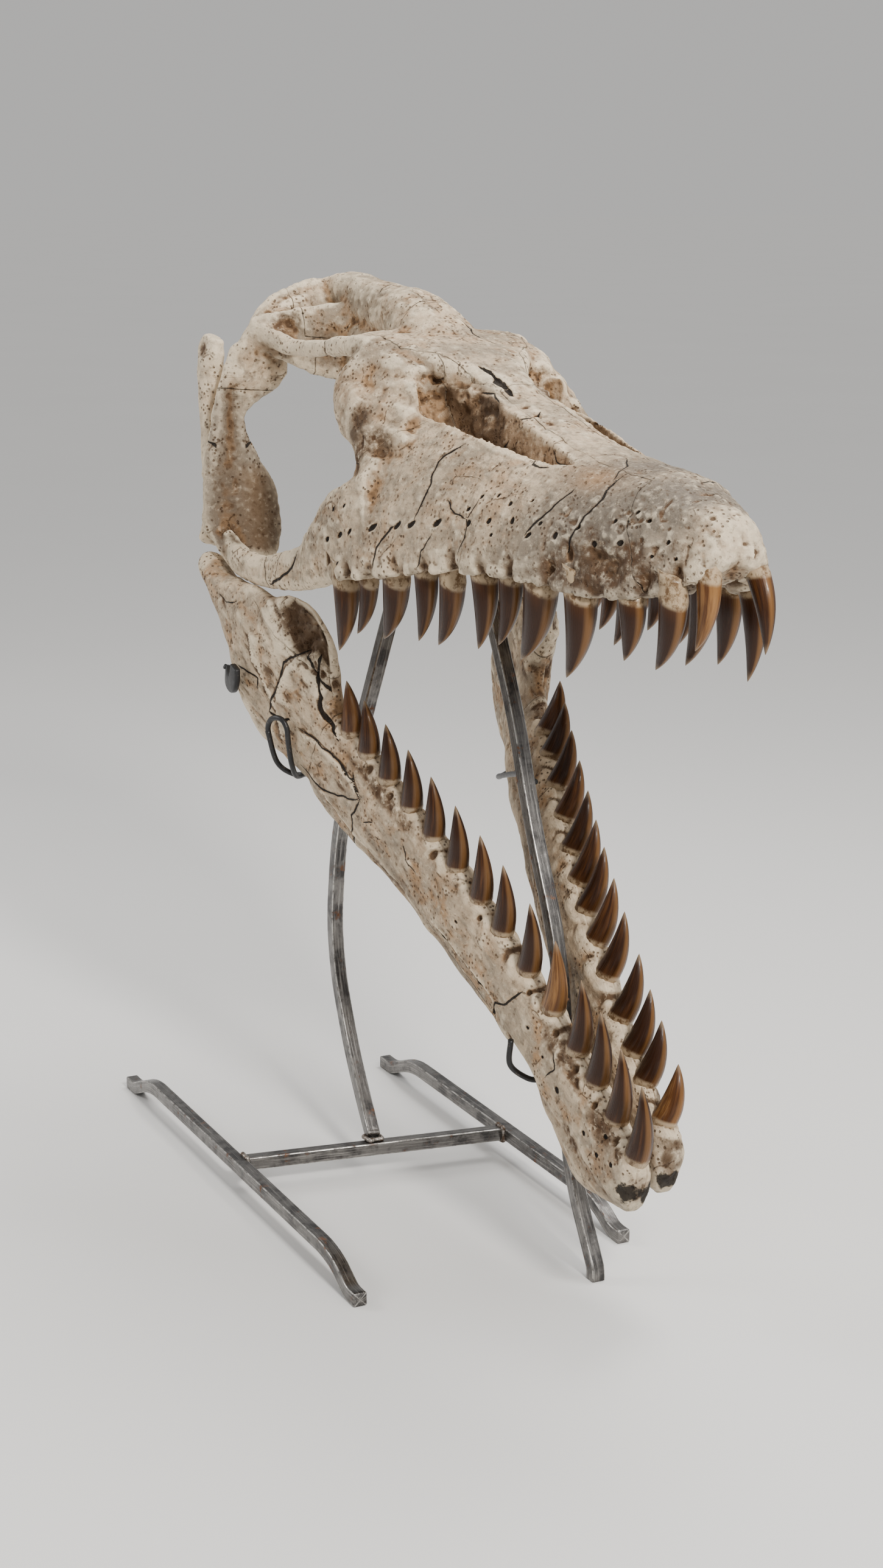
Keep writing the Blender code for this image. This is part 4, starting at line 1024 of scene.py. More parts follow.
cranium_paint = bone_paint("cranium_bone", CRANIUM_PITCH, 0.4)
inner_paint = bone_paint("inner_bone", CRANIUM_PITCH, 1.0)
SLOTS = {"premaxilla": "snout_bone", "braincase": "inner_bone", "palate": "inner_bone",
         "pterygoid": "inner_bone"}
for name, bone in bones.items():
    slot = SLOTS.get(name.split("_")[0], "bone")
    finished_bone(bone, name, inner_paint if slot == "inner_bone" else cranium_paint)


# ---------------------------------------------------------------- the upper teeth
# Enamelled crowns, round in section and bowed back, that stand in sockets along each jaw.
# Each row of crowns is one piece; the roots run on into the bone.

TOOTH_ROOT = 0.26
TOOTH_BULGE = 0.11
TIP_AT = 0.995
TWIN_SEEDS = 20


def crown(base, tip, half_length, place_in, tone, seed, stations=34, around=30):
    """A round section carried from root to tip along a line bowed forward.

    Its size falls as (1 - t^1.75)^0.85 with the height t. Returns points, faces and, for each point, its
    height, its place on the crown and its tone.
    """
    base, tip = np.asarray(base, float), np.asarray(tip, float)
    reach = tip - base
    length = np.linalg.norm(reach)
    forward = unit(np.array(FORWARD) - reach * reach[0] / length**2)
    lateral = unit(np.cross(forward, reach))
    t = np.linspace(-TOOTH_ROOT, TIP_AT, stations)[:, None]
    turn = np.linspace(0, 2 * math.pi, around, endpoint=False)[None]
    size = (1 - np.clip(t, 0, 1) ** 1.75) ** 0.85 * (1 + 0.05 * bell(t, 0.05))
    flutes = 1 + 0.012 * np.cos(13 * turn + seed) * np.clip(1 - t, 0, 1)
    keel = 1 + 0.03 * np.cos(2 * turn) ** 8
    bow = TOOTH_BULGE * length * 4 * t * (1 - t)
    rings = (base + t[..., None] * reach + bow[..., None] * forward
             + (size * flutes * keel * half_length * np.cos(turn))[..., None] * forward
             + (size * flutes * TOOTH_FLATNESS * half_length * np.sin(turn))[..., None] * lateral)
    points, faces = skin(place_in(rings))
    rise = np.append(np.repeat(t, around), [-TOOTH_ROOT, 1.0])
    spin = np.append(np.tile(turn, stations), [0, 0])
    spot = np.stack([np.cos(spin), np.sin(spin), rise + 7.3 * seed], -1)
    return points, faces, {"rise": rise, "crown_spot": spot, "tone": np.full(len(points), tone)}


def tooth_row(name, crowns):
    """One piece of enamel that holds a row of crowns."""
    row = gathered(name, crowns)
    fields = [fields for *_, fields in crowns]
    kept(row, "POINT", {key: np.concatenate([each[key] for each in fields]) for key in fields[0]})
    finished(row, enamel)


AMBER = (0.088, 0.034, 0.011, 1)
HONEY = (0.245, 0.122, 0.043, 1)
CHESTNUT = (0.020, 0.007, 0.003, 1)
DENTINE = (0.42, 0.32, 0.205, 1)
ASH = (0.34, 0.25, 0.16, 1)
STAINED_ROOT = (0.13, 0.078, 0.040, 1)

enamel = Paint("enamel")
eased = enamel.eased
rise = enamel.field("rise")
crown_spot = enamel.field("crown_spot", "Vector")
streaks = enamel.grain(1.6, 4, 0.6, on=enamel.drawn(crown_spot, (1.5, 1.5, 0.8)))
threads = enamel.grain(1.5, 5, 0.6, on=enamel.drawn(crown_spot, (9, 9, 1.2)))
spread = enamel.plus(streaks, enamel.times(enamel.field("tone"), 0.55))
edge = enamel.math("ABSOLUTE", enamel.node("SeparateXYZ", {0: crown_spot}))
collar = enamel.layered(DENTINE, [(eased(enamel.grain(170, 5, 0.65), 0.44, 0.62), 1, STAINED_ROOT)])
# The crowns' front and back edges are lightened towards honey: a painted highlight.
tone = enamel.layered(HONEY, (
    (eased(spread, 0.32, 0.57), 1, AMBER), (eased(spread, 0.51, 0.82), 0.92, CHESTNUT),
    (eased(threads, 0.50, 0.72), 0.45, CHESTNUT), (eased(rise, 0.26, 0.02), 0.35, AMBER),
    (eased(edge, 0.88, 1.0), 0.42, HONEY), (eased(rise, 0.84, 1.0), 0.50, ASH),
    (eased(rise, 0.09, 0.02), 0.85, collar)))
enamel.finish(threads, 0.0006, 0.35, Base_Color=tone, Roughness=enamel.ranged(threads, 0.20, 0.38, 0.3, 0.7),
              Coat_Weight=0.12, Coat_Roughness=0.12, Specular_IOR_Level=0.16)


def upper_crown(row, side, seed):
    """The crown of one row of the upper teeth's table, upright in the jaw's side."""
    at, aside, above, tip_at, tip_above, half, tone = row
    return crown((at, side * aside, above), (tip_at, side * aside, tip_above), half, in_cranium, tone, seed)


for name, side in SIDES.items():
    tooth_row("teeth_maxilla_" + name, [upper_crown(row, side, k + TWIN_SEEDS * (side > 0))
                                        for k, row in enumerate(UPPER_TEETH[name])])
tooth_row("teeth_premaxilla", [upper_crown(row, SIDES[name], 50 + k + 3 * (name == "L"))
                               for name, rows in PREMAXILLARY_TEETH.items() for k, row in enumerate(rows)])


# ---------------------------------------------------------------- the quadrates
# The two hinge bones, upright struts with a knob at the top and a roller at the foot, that
# hang from the rear corners of the skull roof and carry the mandible.

# along, aside, above, half width, half depth in mm
QUADRATE = metres(MM, (
    (-22, 124, 200, 10, 8), (-26, 127, 186, 16, 11), (-28, 130, 150, 15, 10), (-28, 130, 110, 14, 10),
    (-26, 131, 70, 12, 10), (-21, 134, 40, 11, 12), (-15, 139, 23, 10, 14)))
QUADRATE_SMOOTHING = 0.004
# height, size, seed and stretch of the lumps
QUADRATE_LUMPS = ((0.0010, 0.030, 0, 1), (0.0006, 0.012, 1, 1), (0.0003, 0.006, 2, 1),
                  (0.0003, 0.004, 3, 0.2))

for seed, (name, side) in enumerate(SIDES.items()):
    strut = melted(gathered("quadrate", [limb(QUADRATE, SIDEWAYS, side)]), BONE_CELL, QUADRATE_SMOOTHING)
    room = points_of(strut)
    spot = from_cranium(room)
    socket = (-0.024, side * 0.138, 0.190)
    blade = near(spot, (-0.012, side * 0.134, 0.120), (0.010, 0.012, 0.05))
    relief = lumpy(spot, QUADRATE_LUMPS, 300 + 10 * seed) - 0.004 * blade - 0.003 * near(spot, socket, 0.007)
    weathered(strut, room, points_of(strut, "normal"), relief, rotten=0.9 * near(spot, socket, 0.008))
    finished_bone(strut, "quadrate_" + name, cranium_paint)


# ---------------------------------------------------------------- the mandible
# Two long jaws that meet in front. Each is a dentary with the teeth, a surangular behind it at
# the joint, and a coronoid hump that the jaw's muscle pulled on.

JAW_DROP = math.radians(34.7)
# along, aside of the middle line, half width, upper edge, lower edge, in tenths of a mm
RAMUS = metres(TENTH, (
    (-180, 1460, 60, 30, -60), (-90, 1450, 120, 60, -110), (200, 1430, 140, 110, -130),
    (450, 1400, 160, 240, -260), (730, 1370, 170, 430, -460), (1000, 1330, 180, 560, -700),
    (1220, 1280, 180, 760, -810), (1490, 1210, 170, 860, -840), (1780, 1110, 160, 720, -790),
    (2000, 1050, 160, 340, -750), (2130, 1010, 160, 200, -740), (2280, 970, 160, 180, -830),
    (2800, 830, 160, 160, -830), (3350, 690, 165, 140, -740), (4460, 440, 165, 100, -740),
    (5300, 310, 170, 70, -690), (6050, 218, 165, 40, -800), (6550, 195, 165, 20, -880),
    (6880, 185, 155, 40, -700), (7060, 180, 145, 20, -570), (7160, 170, 110, -120, -500),
    (7210, 165, 60, -220, -420)))
JAW_LENGTH = {"R": 1.0, "L": 0.985}
ANGLE_DEPTH = {"R": 1.0, "L": 1.12}
ANGLE_ENDS = 0.215
JAW_REACH = 0.2
BUNCHING = 0.16
# (along, above) in mm round what the surangular and the coronoid take out of the whole jaw
REAR_OUTLINE = metres(MM, ((208, 200), (218, -75), (214, -200), (-50, -200), (-50, 200)))
CORONOID_OUTLINE = metres(MM, ((85, 41), (206, 44), (206, 150), (85, 150)))
# where each tooth stands along the jaw, in mm
LOWER_TEETH_ALONG = metres(MM, {
    "R": (233, 259, 290, 323, 357, 393, 429, 464, 507, 548, 590, 623, 660, 698),
    "L": (256, 283, 318, 355, 391, 425, 456, 489, 524, 567, 601, 630, 670),
})
# height, size, seed and stretch of the lumps
JAW_LUMPS = ((0.0013, 0.050, 400, 1), (0.0011, 0.020, 410, 1), (0.0005, 0.008, 420, 1),
             (0.0006, 0.0050, 430, 0.14))
# side, strength, then (along, above) in mm from one end of the crack to the other
JAW_CRACKS = metres(MM, (
    ("R", 1.0, ((152, -40), (154, -12), (157, 10), (154, 27), (168, 52))),
    ("R", 0.9, ((168, 52), (180, 46), (196, 36), (214, 26))),
    ("R", 1.0, ((203, -56), (229, -56), (258, -42), (283, -20))),
    ("R", 0.5, ((190, -22), (217, -14), (246, -10), (268, -12), (283, -18))),
    ("R", 1.0, ((283, -22), (280, -44), (286, -60), (288, -84))),
    ("R", 0.6, ((283, -22), (272, -14), (262, -6))),
    ("R", 1.0, ((523, -4), (517, -26), (505, -40), (504, -58))),
    ("R", 0.5, ((395, -52), (430, -58), (462, -56), (500, -54))),
    ("R", 0.8, ((100, -28), (118, -22), (130, -16), (133, -28))),
    ("R", 0.5, ((345, -12), (356, -20), (372, -22))), ("R", 0.5, ((296, -36), (306, -26))),
    ("R", 0.5, ((40, 6), (56, 10), (70, 24))), ("R", 0.6, ((580, -12), (592, -22), (588, -36))),
    ("L", 0.9, ((300, 8), (306, -16), (298, -42), (304, -70))),
    ("L", 0.7, ((430, 4), (424, -20), (432, -44))),
    ("L", 0.8, ((150, 30), (158, 6), (150, -20), (158, -50))),
    ("L", 0.6, ((540, 2), (548, -20), (540, -40)))))
# side, along, above, radius in tenths of a mm
JAW_FORAMINA = metres(TENTH, (
    ("R", 6040, -330, 28), ("R", 6510, -290, 22), ("R", 6730, -290, 22), ("R", 6900, -190, 22),
    ("R", 6690, -100, 20), ("R", 5750, -260, 14), ("R", 5480, -200, 14), ("R", 5050, -520, 24),
    ("R", 4300, -200, 14), ("R", 2580, -130, 16), ("L", 6000, -300, 24), ("L", 6400, -280, 24),
    ("L", 6700, -240, 24), ("L", 5200, -240, 20), ("L", 4500, -220, 20)))
# side, along, above, reach along, reach above, depth of the eaten-out places, in tenths of a mm
JAW_ROT = metres(TENTH, (
    ("R", 1400, 640, 220, 150, 45), ("R", 1660, 560, 160, 180, 45), ("R", 1880, 460, 100, 100, 35),
    ("R", 6120, -100, 120, 60, 25), ("R", 6900, -60, 60, 60, 20), ("R", 500, 80, 100, 60, 15),
    ("R", 6400, -500, 200, 80, 15), ("R", 3400, -600, 300, 60, 15), ("R", 5850, -50, 300, 120, 18),
    ("R", 6620, -80, 220, 120, 18), ("R", 3000, 30, 600, 80, 12), ("L", 6400, -100, 400, 140, 20),
    ("L", 1400, 580, 240, 140, 30), ("L", 1960, 300, 100, 80, 30), ("L", 7000, -300, 80, 80, 20),
    ("L", 2360, 40, 100, 80, 30)))
# side, closed outline as (along, above) and depth in mm, and darkness of the broken-open places
JAW_HOLLOWS = metres(MM, (
    ("R", ((124, 120), (128, 66), (142, 55), (155, 46), (166, 45), (177, 57), (190, 52), (196, 120)),
     5, 1.0),
    ("L", ((132, 120), (136, 66), (152, 54), (168, 52), (180, 62), (186, 120)), 4, 0.8)))
# side, along, radius of the little hollows between the lower teeth, in tenths of a mm
JAW_SOCKET_PITS = metres(TENTH, (
    ("R", 2745, 36), ("R", 3065, 28), ("R", 3750, 36), ("R", 4465, 20), ("R", 5270, 22), ("R", 5700, 28),
    ("R", 6060, 34), ("R", 6420, 26), ("R", 6790, 30), ("L", 3000, 26), ("L", 3720, 24), ("L", 4400, 26),
    ("L", 5450, 26), ("L", 6150, 30)))
BROKEN_EDGE = 0.0045
# side, half width, then (along, above) down the open slots, in tenths of a mm
JAW_SLOTS = metres(TENTH, (
    ("R", 17, ((1800, 600), (1870, 400), (1990, 260), (2080, 130), (2240, 80), (2380, 40))),
    ("R", 9, ((4050, -460), (4340, -440), (4520, -430))),
    ("R", 12, ((4620, -420), (4780, -410), (4920, -390))),
    ("R", 10, ((1500, -400), (1580, -360), (1700, -300), (1800, -200)))))
# side, the edge where one sheet of bone laps over the next as (along, above), and the height of the
# step, in tenths of a mm
JAW_LAPS = metres(TENTH, (
    ("R", ((1000, 200), (1180, -40), (1400, -140), (1600, -300), (1760, -600)), 22),
    ("R", ((2830, -180), (2680, -120), (2460, -100), (2170, -140), (1860, -240)), 26),
    ("R", ((1760, 560), (1630, 380), (1580, 240), (1570, 100), (1580, -200)), 26),
    ("R", ((4000, -480), (4340, -430), (4650, -420), (4920, -390), (5070, -440)), 16),
    ("R", ((2300, -580), (2680, -620), (3300, -560), (4000, -600)), 15),
    ("L", ((2140, 200), (2500, -100), (3000, -220), (3800, -300)), 18),
    ("L", ((1000, 300), (1300, -100), (1700, -400)), 20)))
# (along, above) in mm of the line that the tips reach
LOWER_TIP_ABOVE = metres(MM, {
    "R": ((220, 54), (450, 62)),
    "L": ((220, 52), (450, 59), (580, 53), (690, 38)),
})
LOWER_TIP_BACK = 0.024
LOWER_TIP_OUT = {"R": 0.006, "L": 0.011}
LOWER_TOOTH_HALF_LENGTH = 0.0122
GUM_SINK = 0.003
upper_edge = np.array(RAMUS)[:, [0, 1, 3]].T


def in_jaw(points):
    """Room coordinates of jaw coordinates (along, aside, above), pitched down about the joints."""
    return turned(points, -JAW_DROP) + JOINT


def from_jaw(points):
    """Jaw coordinates of room coordinates: in_jaw undone."""
    return turned(np.asarray(points, float) - JOINT, JAW_DROP)


def ramus_rings(name, side, stations=400, around=190):
    """Upright oval sections: cosine across, sine to the power 0.8 upwards, evenly spaced along the jaw."""
    rows = np.array(RAMUS) * (JAW_LENGTH[name], 1, 1, 1, 1)
    rows[rows[:, 0] < ANGLE_ENDS, 4] *= ANGLE_DEPTH[name]
    fine = smooth_path(rows, 40)
    reach = travel(fine[:, [0, 3]] * (1, 0.25))
    even = np.linspace(0, reach[-1], stations)
    at, aside, half, upper, lower = (np.interp(even, reach, column)[:, None] for column in fine.T)
    turn = np.linspace(0, 2 * math.pi, around, endpoint=False)[None]
    turn = turn - BUNCHING * np.sin(2 * turn)
    return np.stack([np.broadcast_to(at, (stations, around)), side * (aside + half * np.cos(turn)),
                     (upper + lower) / 2 + (upper - lower) / 2 * oval(turn, 2.5)[1]], -1)


def lower_crowns(name, side):
    """Where each crown leaves the gum, and where its tip is, in jaw coordinates."""
    places = np.array(LOWER_TEETH_ALONG[name])
    aside, above = (np.interp(places, upper_edge[0], row) for row in upper_edge[1:])
    bases = np.stack([places, side * aside, above - GUM_SINK], -1)
    tips = np.stack([places - LOWER_TIP_BACK, bases[:, 1] + side * LOWER_TIP_OUT[name],
                     np.interp(places, *np.transpose(LOWER_TIP_ABOVE[name]))], -1)
    return bases, tips


def on_side(name, rows):
    """What the rows of this side say."""
    return [row for place_side, *row in rows if place_side == name]


jaw_paint = bone_paint("jaw_bone", -JAW_DROP, 1.0)

for seed, (name, side) in enumerate(SIDES.items()):
    points, faces = skin(in_jaw(ramus_rings(name, side)))
    ramus = piece_of("ramus_" + name, points, faces)
    spot = from_jaw(points)
    along, aside, above = spot.T
    outward = points_of(ramus, "normal")
    flat = np.abs(outward[:, 1]) > 0.35
    outer = outward[:, 1] * side > 0.2
    relief = lumpy(spot, JAW_LUMPS, seed)

    # the gum: lips and roots of the teeth, the gaps between them, and little hollows in the gaps
    edge_above = np.interp(along / JAW_LENGTH[name], upper_edge[0], upper_edge[2])
    bases, tips = lower_crowns(name, side)
    lip, root = sockets(spot, bases, tips, [LOWER_TOOTH_HALF_LENGTH] * len(bases))
    crest = step(above, edge_above - 0.015, edge_above - 0.003) * (along > 0.222)
    gaps = crest * (1 - step(lip + root, 0.10, 0.60))
    relief += 0.0009 * lip + 0.0018 * root * flat - 0.0022 * gaps
    relief += 0.0007 * crest * lumps(spot, 0.0070, 440 + seed)
    # Painted shade in the gaps between the teeth and in the little hollows between them.
    dark = 0.65 * gaps * step(lumps(spot, 0.0090, 483), -0.10, 0.45)
    for at, radius in on_side(name, JAW_SOCKET_PITS):
        high = np.interp(at, upper_edge[0], upper_edge[2]) - 0.0075
        pit = outer * bell(((along - at) / radius) ** 2 + ((above - high) / (1.15 * radius)) ** 2, 1)
        relief -= 0.0036 * pit
        dark = np.maximum(dark, 0.75 * pit)

    # laps of bone, the long groove, eaten-out and broken-open places
    for edge, height in on_side(name, JAW_LAPS):
        away, done = route_distance(along, above, wandering(edge, 0.006, 0.0016, 470))
        falling = np.exp(-np.clip(away, 0, 1) / 0.014) * step(done, 0, 0.1) * step(done, 1, 0.9)
        relief += height * outer * step(away, -0.0006, 0.0010) * falling
    groove = bell(above + 0.048 - 0.02 * np.sin(9 * along), 0.006) * (along > 0.30) * flat
    relief -= 0.0012 * groove * step(along, 0.30, 0.36)
    # Brown from the eaten-out places below, and painted shade in the gaps between the teeth.
    rotten = 0.6 * gaps
    for at, high, reach_at, reach_high, depth in on_side(name, JAW_ROT):
        eaten = outer * bell(along - at, reach_at) * bell(above - high, reach_high)
        relief -= depth * eaten * (1 + 0.8 * lumps(spot, 0.005, 450))
        rotten = np.maximum(rotten, eaten)
    for outline, depth, strength in on_side(name, JAW_HOLLOWS):
        outline = wandering(outline, 0.005, 0.0022, 480, closed=True)
        away = outline_depth(along, above, 0 * along, outline, -1.0, 1.0)
        inside = outer * step(away, 0.0015, -0.0025)
        relief -= inside * depth * (1 + 0.5 * lumps(spot, 0.0065, 481))
        relief += 0.0016 * outer * bell(away - 0.003, 0.0025)
        dark = np.maximum(dark, strength * inside * (0.8 + 0.35 * lumps(spot, 0.009, 482)))

    # openings for nerves, open slots, and rock left in the tip
    matrix = bell(along - 0.715, 0.012) * bell(above + 0.027, 0.013)
    pores = 1.6 * matrix * (1 + 0.6 * lumps(spot, 0.008, 455))
    for at, high, radius in on_side(name, JAW_FORAMINA):
        pores = np.maximum(pores, np.where(outer, 2 - np.hypot(along - at, above - high) / radius, 0))
    for half, route in on_side(name, JAW_SLOTS):
        slot = open_split(along, above, wandering(route, 0.004, 0.0030, 485), half, 486, 0.12, 0.75)
        pores = np.maximum(pores, np.where(outer, slot, 0))
    pores = np.clip(pores, 0, 2)
    relief -= 0.0016 * step(pores, 0.5, 1.6) * (matrix < 0.2)

    cracks = np.full(len(spot), 0.01)
    crack_share = np.zeros(len(spot))
    for number, (place_side, strength, route) in enumerate(JAW_CRACKS):
        if place_side == name:
            add_crack(outer, along, above, route, strength, 460 + number)
    relief -= 0.0008 * crack_share * bell(cracks, 0.0014)
    if name == "R":
        notch = outer * step(above, -0.046, -0.056) * step(along, 0.5275, 0.5305) * step(along, 0.600, 0.560)
        relief -= BROKEN_EDGE * notch
    weathered(ramus, points, outward, relief, rotten=rotten, pore=pores, dark=dark,
              pale=0.35 * np.maximum(crest, lip) * (1 - gaps), crack=1000 * cracks, crack_share=crack_share,
              warm=0.5 * root * (above > edge_above - 0.02),
              snout=0.45 * step(along, 0.60, 0.70) + 0.5 * groove)

    for node, first, outline in (("coronoid_", 500, CORONOID_OUTLINE), ("surangular_", 510, REAR_OUTLINE)):
        parted(ramus, in_jaw, from_jaw, node + name, first + seed, side, [(outline, 0.0, JAW_REACH, "side")])
    bones["dentary_" + name] = ramus
    for node in ("coronoid_", "surangular_", "dentary_"):
        finished_bone(bones[node + name], node + name, jaw_paint)


# ---------------------------------------------------------------- the lower teeth
# The same brown enamelled crowns, a little shorter, one row on each dentary. Their roots run down into
# sockets in the bone, and their tips lean back and outwards.

# each crown's tone, from honey at 0 to a dark chestnut at 1
LOWER_TONES = {
    "R": (0.25, 0.45, 0.60, 0.55, 0.50, 0.65, 0.45, 0.55, 0.75, 0.05, 0.55, 0.80, 0.50, 0.65),
    "L": (0.40, 0.50, 0.45, 0.35, 0.50, 0.40, 0.45, 0.35, 0.40, 0.55, 0.60, 0.65, 0.15),
}

for seed, (name, side) in enumerate(SIDES.items()):
    crowns = enumerate(zip(*lower_crowns(name, side), LOWER_TONES[name]), 70 + TWIN_SEEDS * seed)
    tooth_row("teeth_dentary_" + name, [crown(base, tip, LOWER_TOOTH_HALF_LENGTH, in_jaw, tone, own)
                                        for own, (base, tip, tone) in crowns])


# ---------------------------------------------------------------- the welded stand
# Square steel bar, cold bent and welded: two foot bars with turned-down ends, a crossbar
# between them, a bowed post at the rear and a strut in front. The scale is ground off at the
# edges, and a thin rust has started on the flats.

STEEL_BAR = 0.012
CORNER = 0.0013
END_SIZE = 0.90
END_CHAMFER = 0.0006
END_WEAR = 0.6
BAR_LOW = STEEL_BAR / 2
RAIL = 0.025
# (along, aside, above the floor) of each bar's middle line, from the line through the joints, in
# tenths of a mm
BARS = metres(TENTH, {
    "stand_foot_bar_R": (
        (-1320, -1970, BAR_LOW), (-1120, -1970, BAR_LOW), (-640, -1970, RAIL), (3680, -1970, RAIL),
        (3940, -1970, 200), (4200, -1970, BAR_LOW), (4380, -1970, BAR_LOW)),
    "stand_foot_bar_L": (
        (-760, 600, BAR_LOW), (-540, 600, BAR_LOW), (-40, 600, RAIL), (3490, 600, RAIL), (3780, 600, 190),
        (4040, 600, BAR_LOW), (4220, 600, BAR_LOW)),
    "stand_crossbar": ((1650, -1897, RAIL), (2000, 527, RAIL)),
    "stand_post": (
        (1780, -680, 340), (1560, -640, 480), (1130, -600, 950), (820, -600, 1620), (740, -600, 2140),
        (820, -580, 3010), (1080, -520, 3830), (1430, -480, 4590), (1680, -440, 5170), (2120, -400, 6040)),
    "stand_strut": (
        (4755, 20, 0), (4755, 20, 100), (4300, 20, 840), (4180, 20, 1800), (4050, 20, 2690),
        (3540, 20, 3710), (3230, 20, 4560), (2920, 20, 5130), (2530, 20, 5860)),
})
BEND_REACH = {"stand_post": 0.45, "stand_strut": 0.45, "stand_foot_bar_R": 0.42, "stand_foot_bar_L": 0.42,
              "stand_crossbar": 0.1}


def in_room(points):
    """Room coordinates of points that are given from the line through the joints, above the floor."""
    return points + np.array([JOINT[0], JOINT[1], 0.0])


def bent_line(path, share, spacing=0.004):
    """Straight runs joined by parabolas that start this share of the shorter run before each corner."""
    path = np.asarray(path, float)
    line = [path[:1]]
    t = np.linspace(0, 1, 9)[:, None]
    for before, corner, after in zip(path, path[1:], path[2:]):
        reach = share * min(np.linalg.norm(corner - before), np.linalg.norm(after - corner))
        start = corner + reach * unit(before - corner)
        end = corner + reach * unit(after - corner)
        line.append((1 - t) ** 2 * start + 2 * t * (1 - t) * corner + t**2 * end)
    line = np.vstack(line + [path[-1:]])
    reach = travel(line)
    even = np.linspace(0, reach[-1], max(4, int(reach[-1] / spacing)))
    return np.stack([np.interp(even, reach, column) for column in line.T], -1), even


def square_section(half, corner):
    """(across, up, edge) round a square with rounded corners; edge is 1 in the middle of each corner."""
    flat = half - corner
    run = 2 * flat * np.array([0.12, 0.5, 0.88])
    sides = []
    for quarter in range(4):
        turn = np.linspace(0, math.pi / 2, 5) + quarter * math.pi / 2
        middle = math.pi / 4 + quarter * math.pi / 2
        across = flat * math.sqrt(2) * math.cos(middle) + corner * np.cos(turn)
        up = flat * math.sqrt(2) * math.sin(middle) + corner * np.sin(turn)
        across = np.append(across, across[-1] - run * math.sin(turn[-1]))
        up = np.append(up, up[-1] + run * math.cos(turn[-1]))
        sides.append([across, up, (0.25, 0.8, 1.0, 0.8, 0.25, 0, 0, 0)])
    return np.hstack(sides)


def bar(name, path, share):
    """A square section with rounded corners carried along the bent line, upright as the bar runs."""
    line, travelled = bent_line(path, share)
    ahead = unit(np.gradient(line, axis=0))
    steep = np.abs(ahead[:, 2:3]) > 0.5
    lateral = square_to(ahead, np.where(steep, [SIDEWAYS], np.cross(UPRIGHT, ahead)))
    upward = np.cross(ahead, lateral)
    line, lateral, upward = (np.pad(rows, ((1, 1), (0, 0)), "edge") for rows in (line, lateral, upward))
    line[1] += END_CHAMFER * ahead[0]
    line[-2] -= END_CHAMFER * ahead[-1]
    size = np.ones((len(line), 1))
    size[[0, -1]] = END_SIZE
    across, up, edge = square_section(STEEL_BAR / 2, CORNER)
    piece = piece_of(name, *skin(in_room(carried(line, size * across, size * up, lateral, upward))))
    spot = np.stack([np.repeat(np.pad(travelled, 1, "edge"), len(edge)), np.tile(across, len(line)),
                     np.tile(up, len(line))], -1)
    kept(piece, "POINT", {"edge": np.append(np.tile(edge, len(line)), [END_WEAR, END_WEAR]),
                          "bar_spot": np.vstack([spot, spot[:1], spot[-1:]])})
    return piece


STEEL = (0.16, 0.152, 0.145, 1)
MILL_SCALE = (0.055, 0.052, 0.052, 1)
BRIGHT = (0.52, 0.50, 0.47, 1)
RUST = (0.16, 0.065, 0.025, 1)

steel = Paint("worn_steel")
eased, times = steel.eased, steel.times
cloud = steel.grain(45, 6, 0.65)
brushed = steel.grain(1.0, 5, 0.7, on=steel.drawn(steel.field("bar_spot", "Vector"), (25, 900, 900)))
rusty = steel.grain(95, 7, 0.7)
wear = times(eased(steel.field("edge"), 0.2, 0.9), eased(rusty, 0.62, 0.42))
rust = times(eased(rusty, 0.56, 0.66), eased(cloud, 0.48, 0.60))
tone = steel.layered(STEEL, (
    (eased(cloud, 0.42, 0.62), 1, MILL_SCALE), (eased(brushed, 0.48, 0.70), 0.5, BRIGHT),
    (wear, 0.9, BRIGHT), (rust, 1, RUST)))
rough = steel.plus(times(brushed, 0.30), times(cloud, 0.35))
rough = steel.math("MAXIMUM", rough, times(rust, 0.85))
steel.finish(steel.plus(brushed, rusty), 0.0004, 0.35, Base_Color=tone, Roughness=rough,
             Metallic=steel.ranged(rust, 0.95, 0.1))

for node, path in BARS.items():
    finished(bar("steel_" + node[6:], path, BEND_REACH[node]), steel, node)


# Weld beads: a rope of small overlapping puddles laid round each joint, left as bare metal with
# scorched patches.

BEAD = 0.0021
WELD_METAL = (0.34, 0.31, 0.28, 1)
SCORCHED = (0.10, 0.065, 0.045, 1)
# the middle of the loop, the way that it lies beside forwards, half its size, and its seed
WELDS = {
    "weld_crossbar_R": ((0.1652, -0.1905, RAIL), UPRIGHT, 0.0064, 0),
    "weld_crossbar_L": ((0.1999, 0.0535, RAIL), UPRIGHT, 0.0064, 1),
    "weld_post": ((0.1775, -0.0679, 0.0330), SIDEWAYS, 0.0068, 5),
}


def bead_loop(centre, way, half, seed):
    """A tube round a square loop that lies forwards and this way; its radius ripples as laid puddles do."""
    turn = np.linspace(0, 2 * math.pi, 120, endpoint=False)
    forward, beside = (wave[:, None] for wave in oval(turn, 7))
    draw = np.random.default_rng(seed)
    wobble = 1 + 0.05 * np.sin(5 * turn + draw.uniform(0, 6)) + 0.04 * np.sin(11 * turn + draw.uniform(0, 6))
    path = centre + half * wobble[:, None] * (forward * FORWARD + beside * way)
    ahead = unit(np.roll(path, -1, 0) - np.roll(path, 1, 0))
    out = square_to(ahead, unit(path - centre))
    radius = BEAD * (0.82 + 0.28 * np.abs(np.sin(11 * turn + 0.6 * np.sin(3 * turn))))[:, None]
    around = np.linspace(0, 2 * math.pi, 14, endpoint=False)
    rings = carried(path, radius * np.cos(around), radius * np.sin(around), out, np.cross(ahead, out))
    return skin(in_room(rings), closed=True)


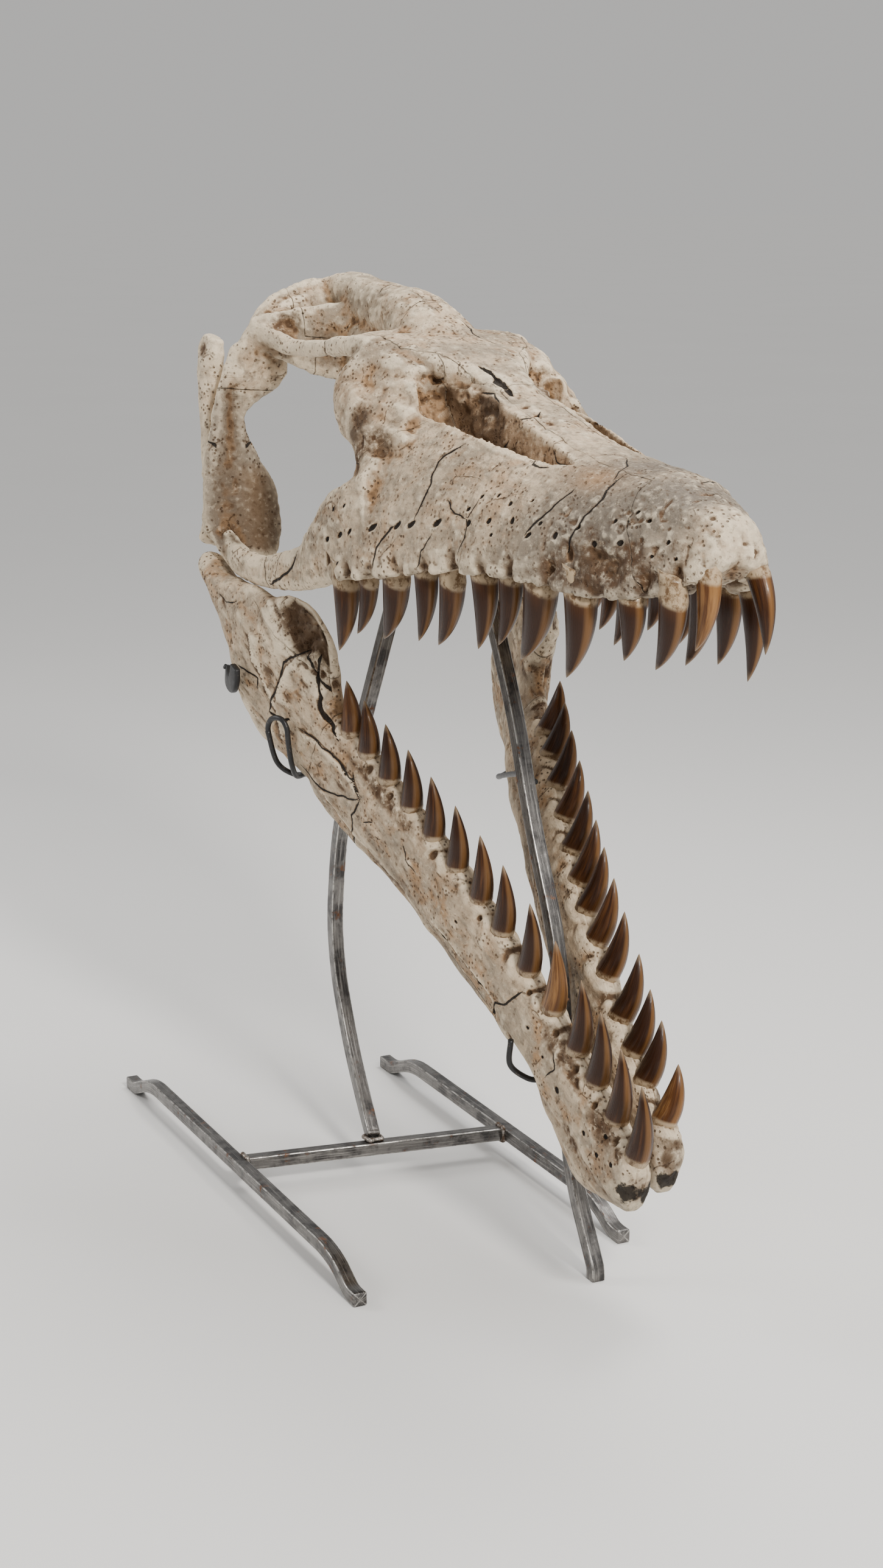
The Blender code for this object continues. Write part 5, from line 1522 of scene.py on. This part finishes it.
weld_metal = Paint("weld_metal")
ripple = weld_metal.grain(420, 4)
scorched = weld_metal.eased(weld_metal.grain(160, 4), 0.42, 0.62)
weld_metal.finish(ripple, 0.0004, 0.4, Base_Color=weld_metal.layered(WELD_METAL, [(scorched, 1, SCORCHED)]),
                  Metallic=0.9, Roughness=weld_metal.ranged(ripple, 0.25, 0.55))
for name, weld in WELDS.items():
    finished(piece_of(name, *bead_loop(*weld)), weld_metal)


# ---------------------------------------------------------------- the jaw hooks
# Round rod, painted black, welded to the post and the strut and bent up under each jaw. On the right
# the middle hook doubles back over the jaw's side, and the rear one ends in a flat strap.

HOOK_ROD = 0.005
BLACK = (0.014, 0.014, 0.015, 1)
CHIPPED = (0.09, 0.075, 0.06, 1)
# (along, aside, above) of each rod's middle line in jaw coordinates, in tenths of a mm
HOOKS = metres(TENTH, {
    "stand_hook_rear_R": (
        (1780, -880, -800), (1400, -990, -800), (1050, -1070, -740), (860, -1150, -660), (800, -1350, -595),
        (760, -1500, -530)),
    "stand_hook_middle_R": (
        (1810, -615, -740), (1840, -800, -850), (1900, -1000, -850), (1880, -1140, -850),
        (1820, -1300, -730), (1680, -1400, -460)),
    "stand_hook_middle_L": (
        (3650, 115, 740), (3000, 420, 100), (2400, 700, -600), (2120, 920, -935), (2030, 1100, -945),
        (1960, 1220, -840), (1900, 1285, -620)),
    "stand_hook_front_R": (
        (5660, -75, -760), (5620, -200, -795), (5580, -320, -790), (5500, -480, -670), (5430, -520, -420)),
})
# the second leg of the middle hook on the right, bent back down over the jaw's outer side
HAIRPIN = metres(TENTH, (
    (1720, -1375, -540), (1665, -1400, -420), (1690, -1395, -290), (1780, -1360, -210), (1870, -1330, -240),
    (1950, -1310, -370), (2010, -1260, -560), (1990, -1160, -760), (1900, -1020, -850)))
# the strap that the rear hook on the right ends in, against the jaw's outer side: its middle line, half
# width and half depth
STRAP = metres(TENTH, (
    (780, -1470, -540, 40, 25), (960, -1530, -510, 60, 28), (1110, -1560, -410, 80, 30),
    (1130, -1570, -300, 80, 30), (1100, -1575, -200, 70, 28)))

black_rod = Paint("black_rod")
chips = black_rod.grain(240, 6, 0.7)
black_rod.finish(chips, 0.0004, 0.3, Metallic=0.3, Roughness=black_rod.ranged(chips, 0.25, 0.6),
                 Base_Color=black_rod.layered(BLACK, [(black_rod.eased(chips, 0.60, 0.68), 1, CHIPPED)]))


def rod(name, rows, depth_way, sides, power=2.0, node=None):
    """A rod along the smoothed rows, round where a row gives no half width and depth of its own."""
    rows = [(*row, HOOK_ROD / 2, HOOK_ROD / 2)[:5] for row in rows]
    rings = oval_rings(rows, depth_way, sides, 14, power)
    finished(piece_of(name, *skin(in_jaw(rings))), black_rod, node)


for node, path in HOOKS.items():
    rod("rod_" + node[6:], path, FORWARD, 20, node=node)
rod("rod_hook_middle_R_return", HAIRPIN, SIDEWAYS, 28)
rod("rod_hook_rear_R_strap", STRAP, SIDEWAYS, 28, 5.0)
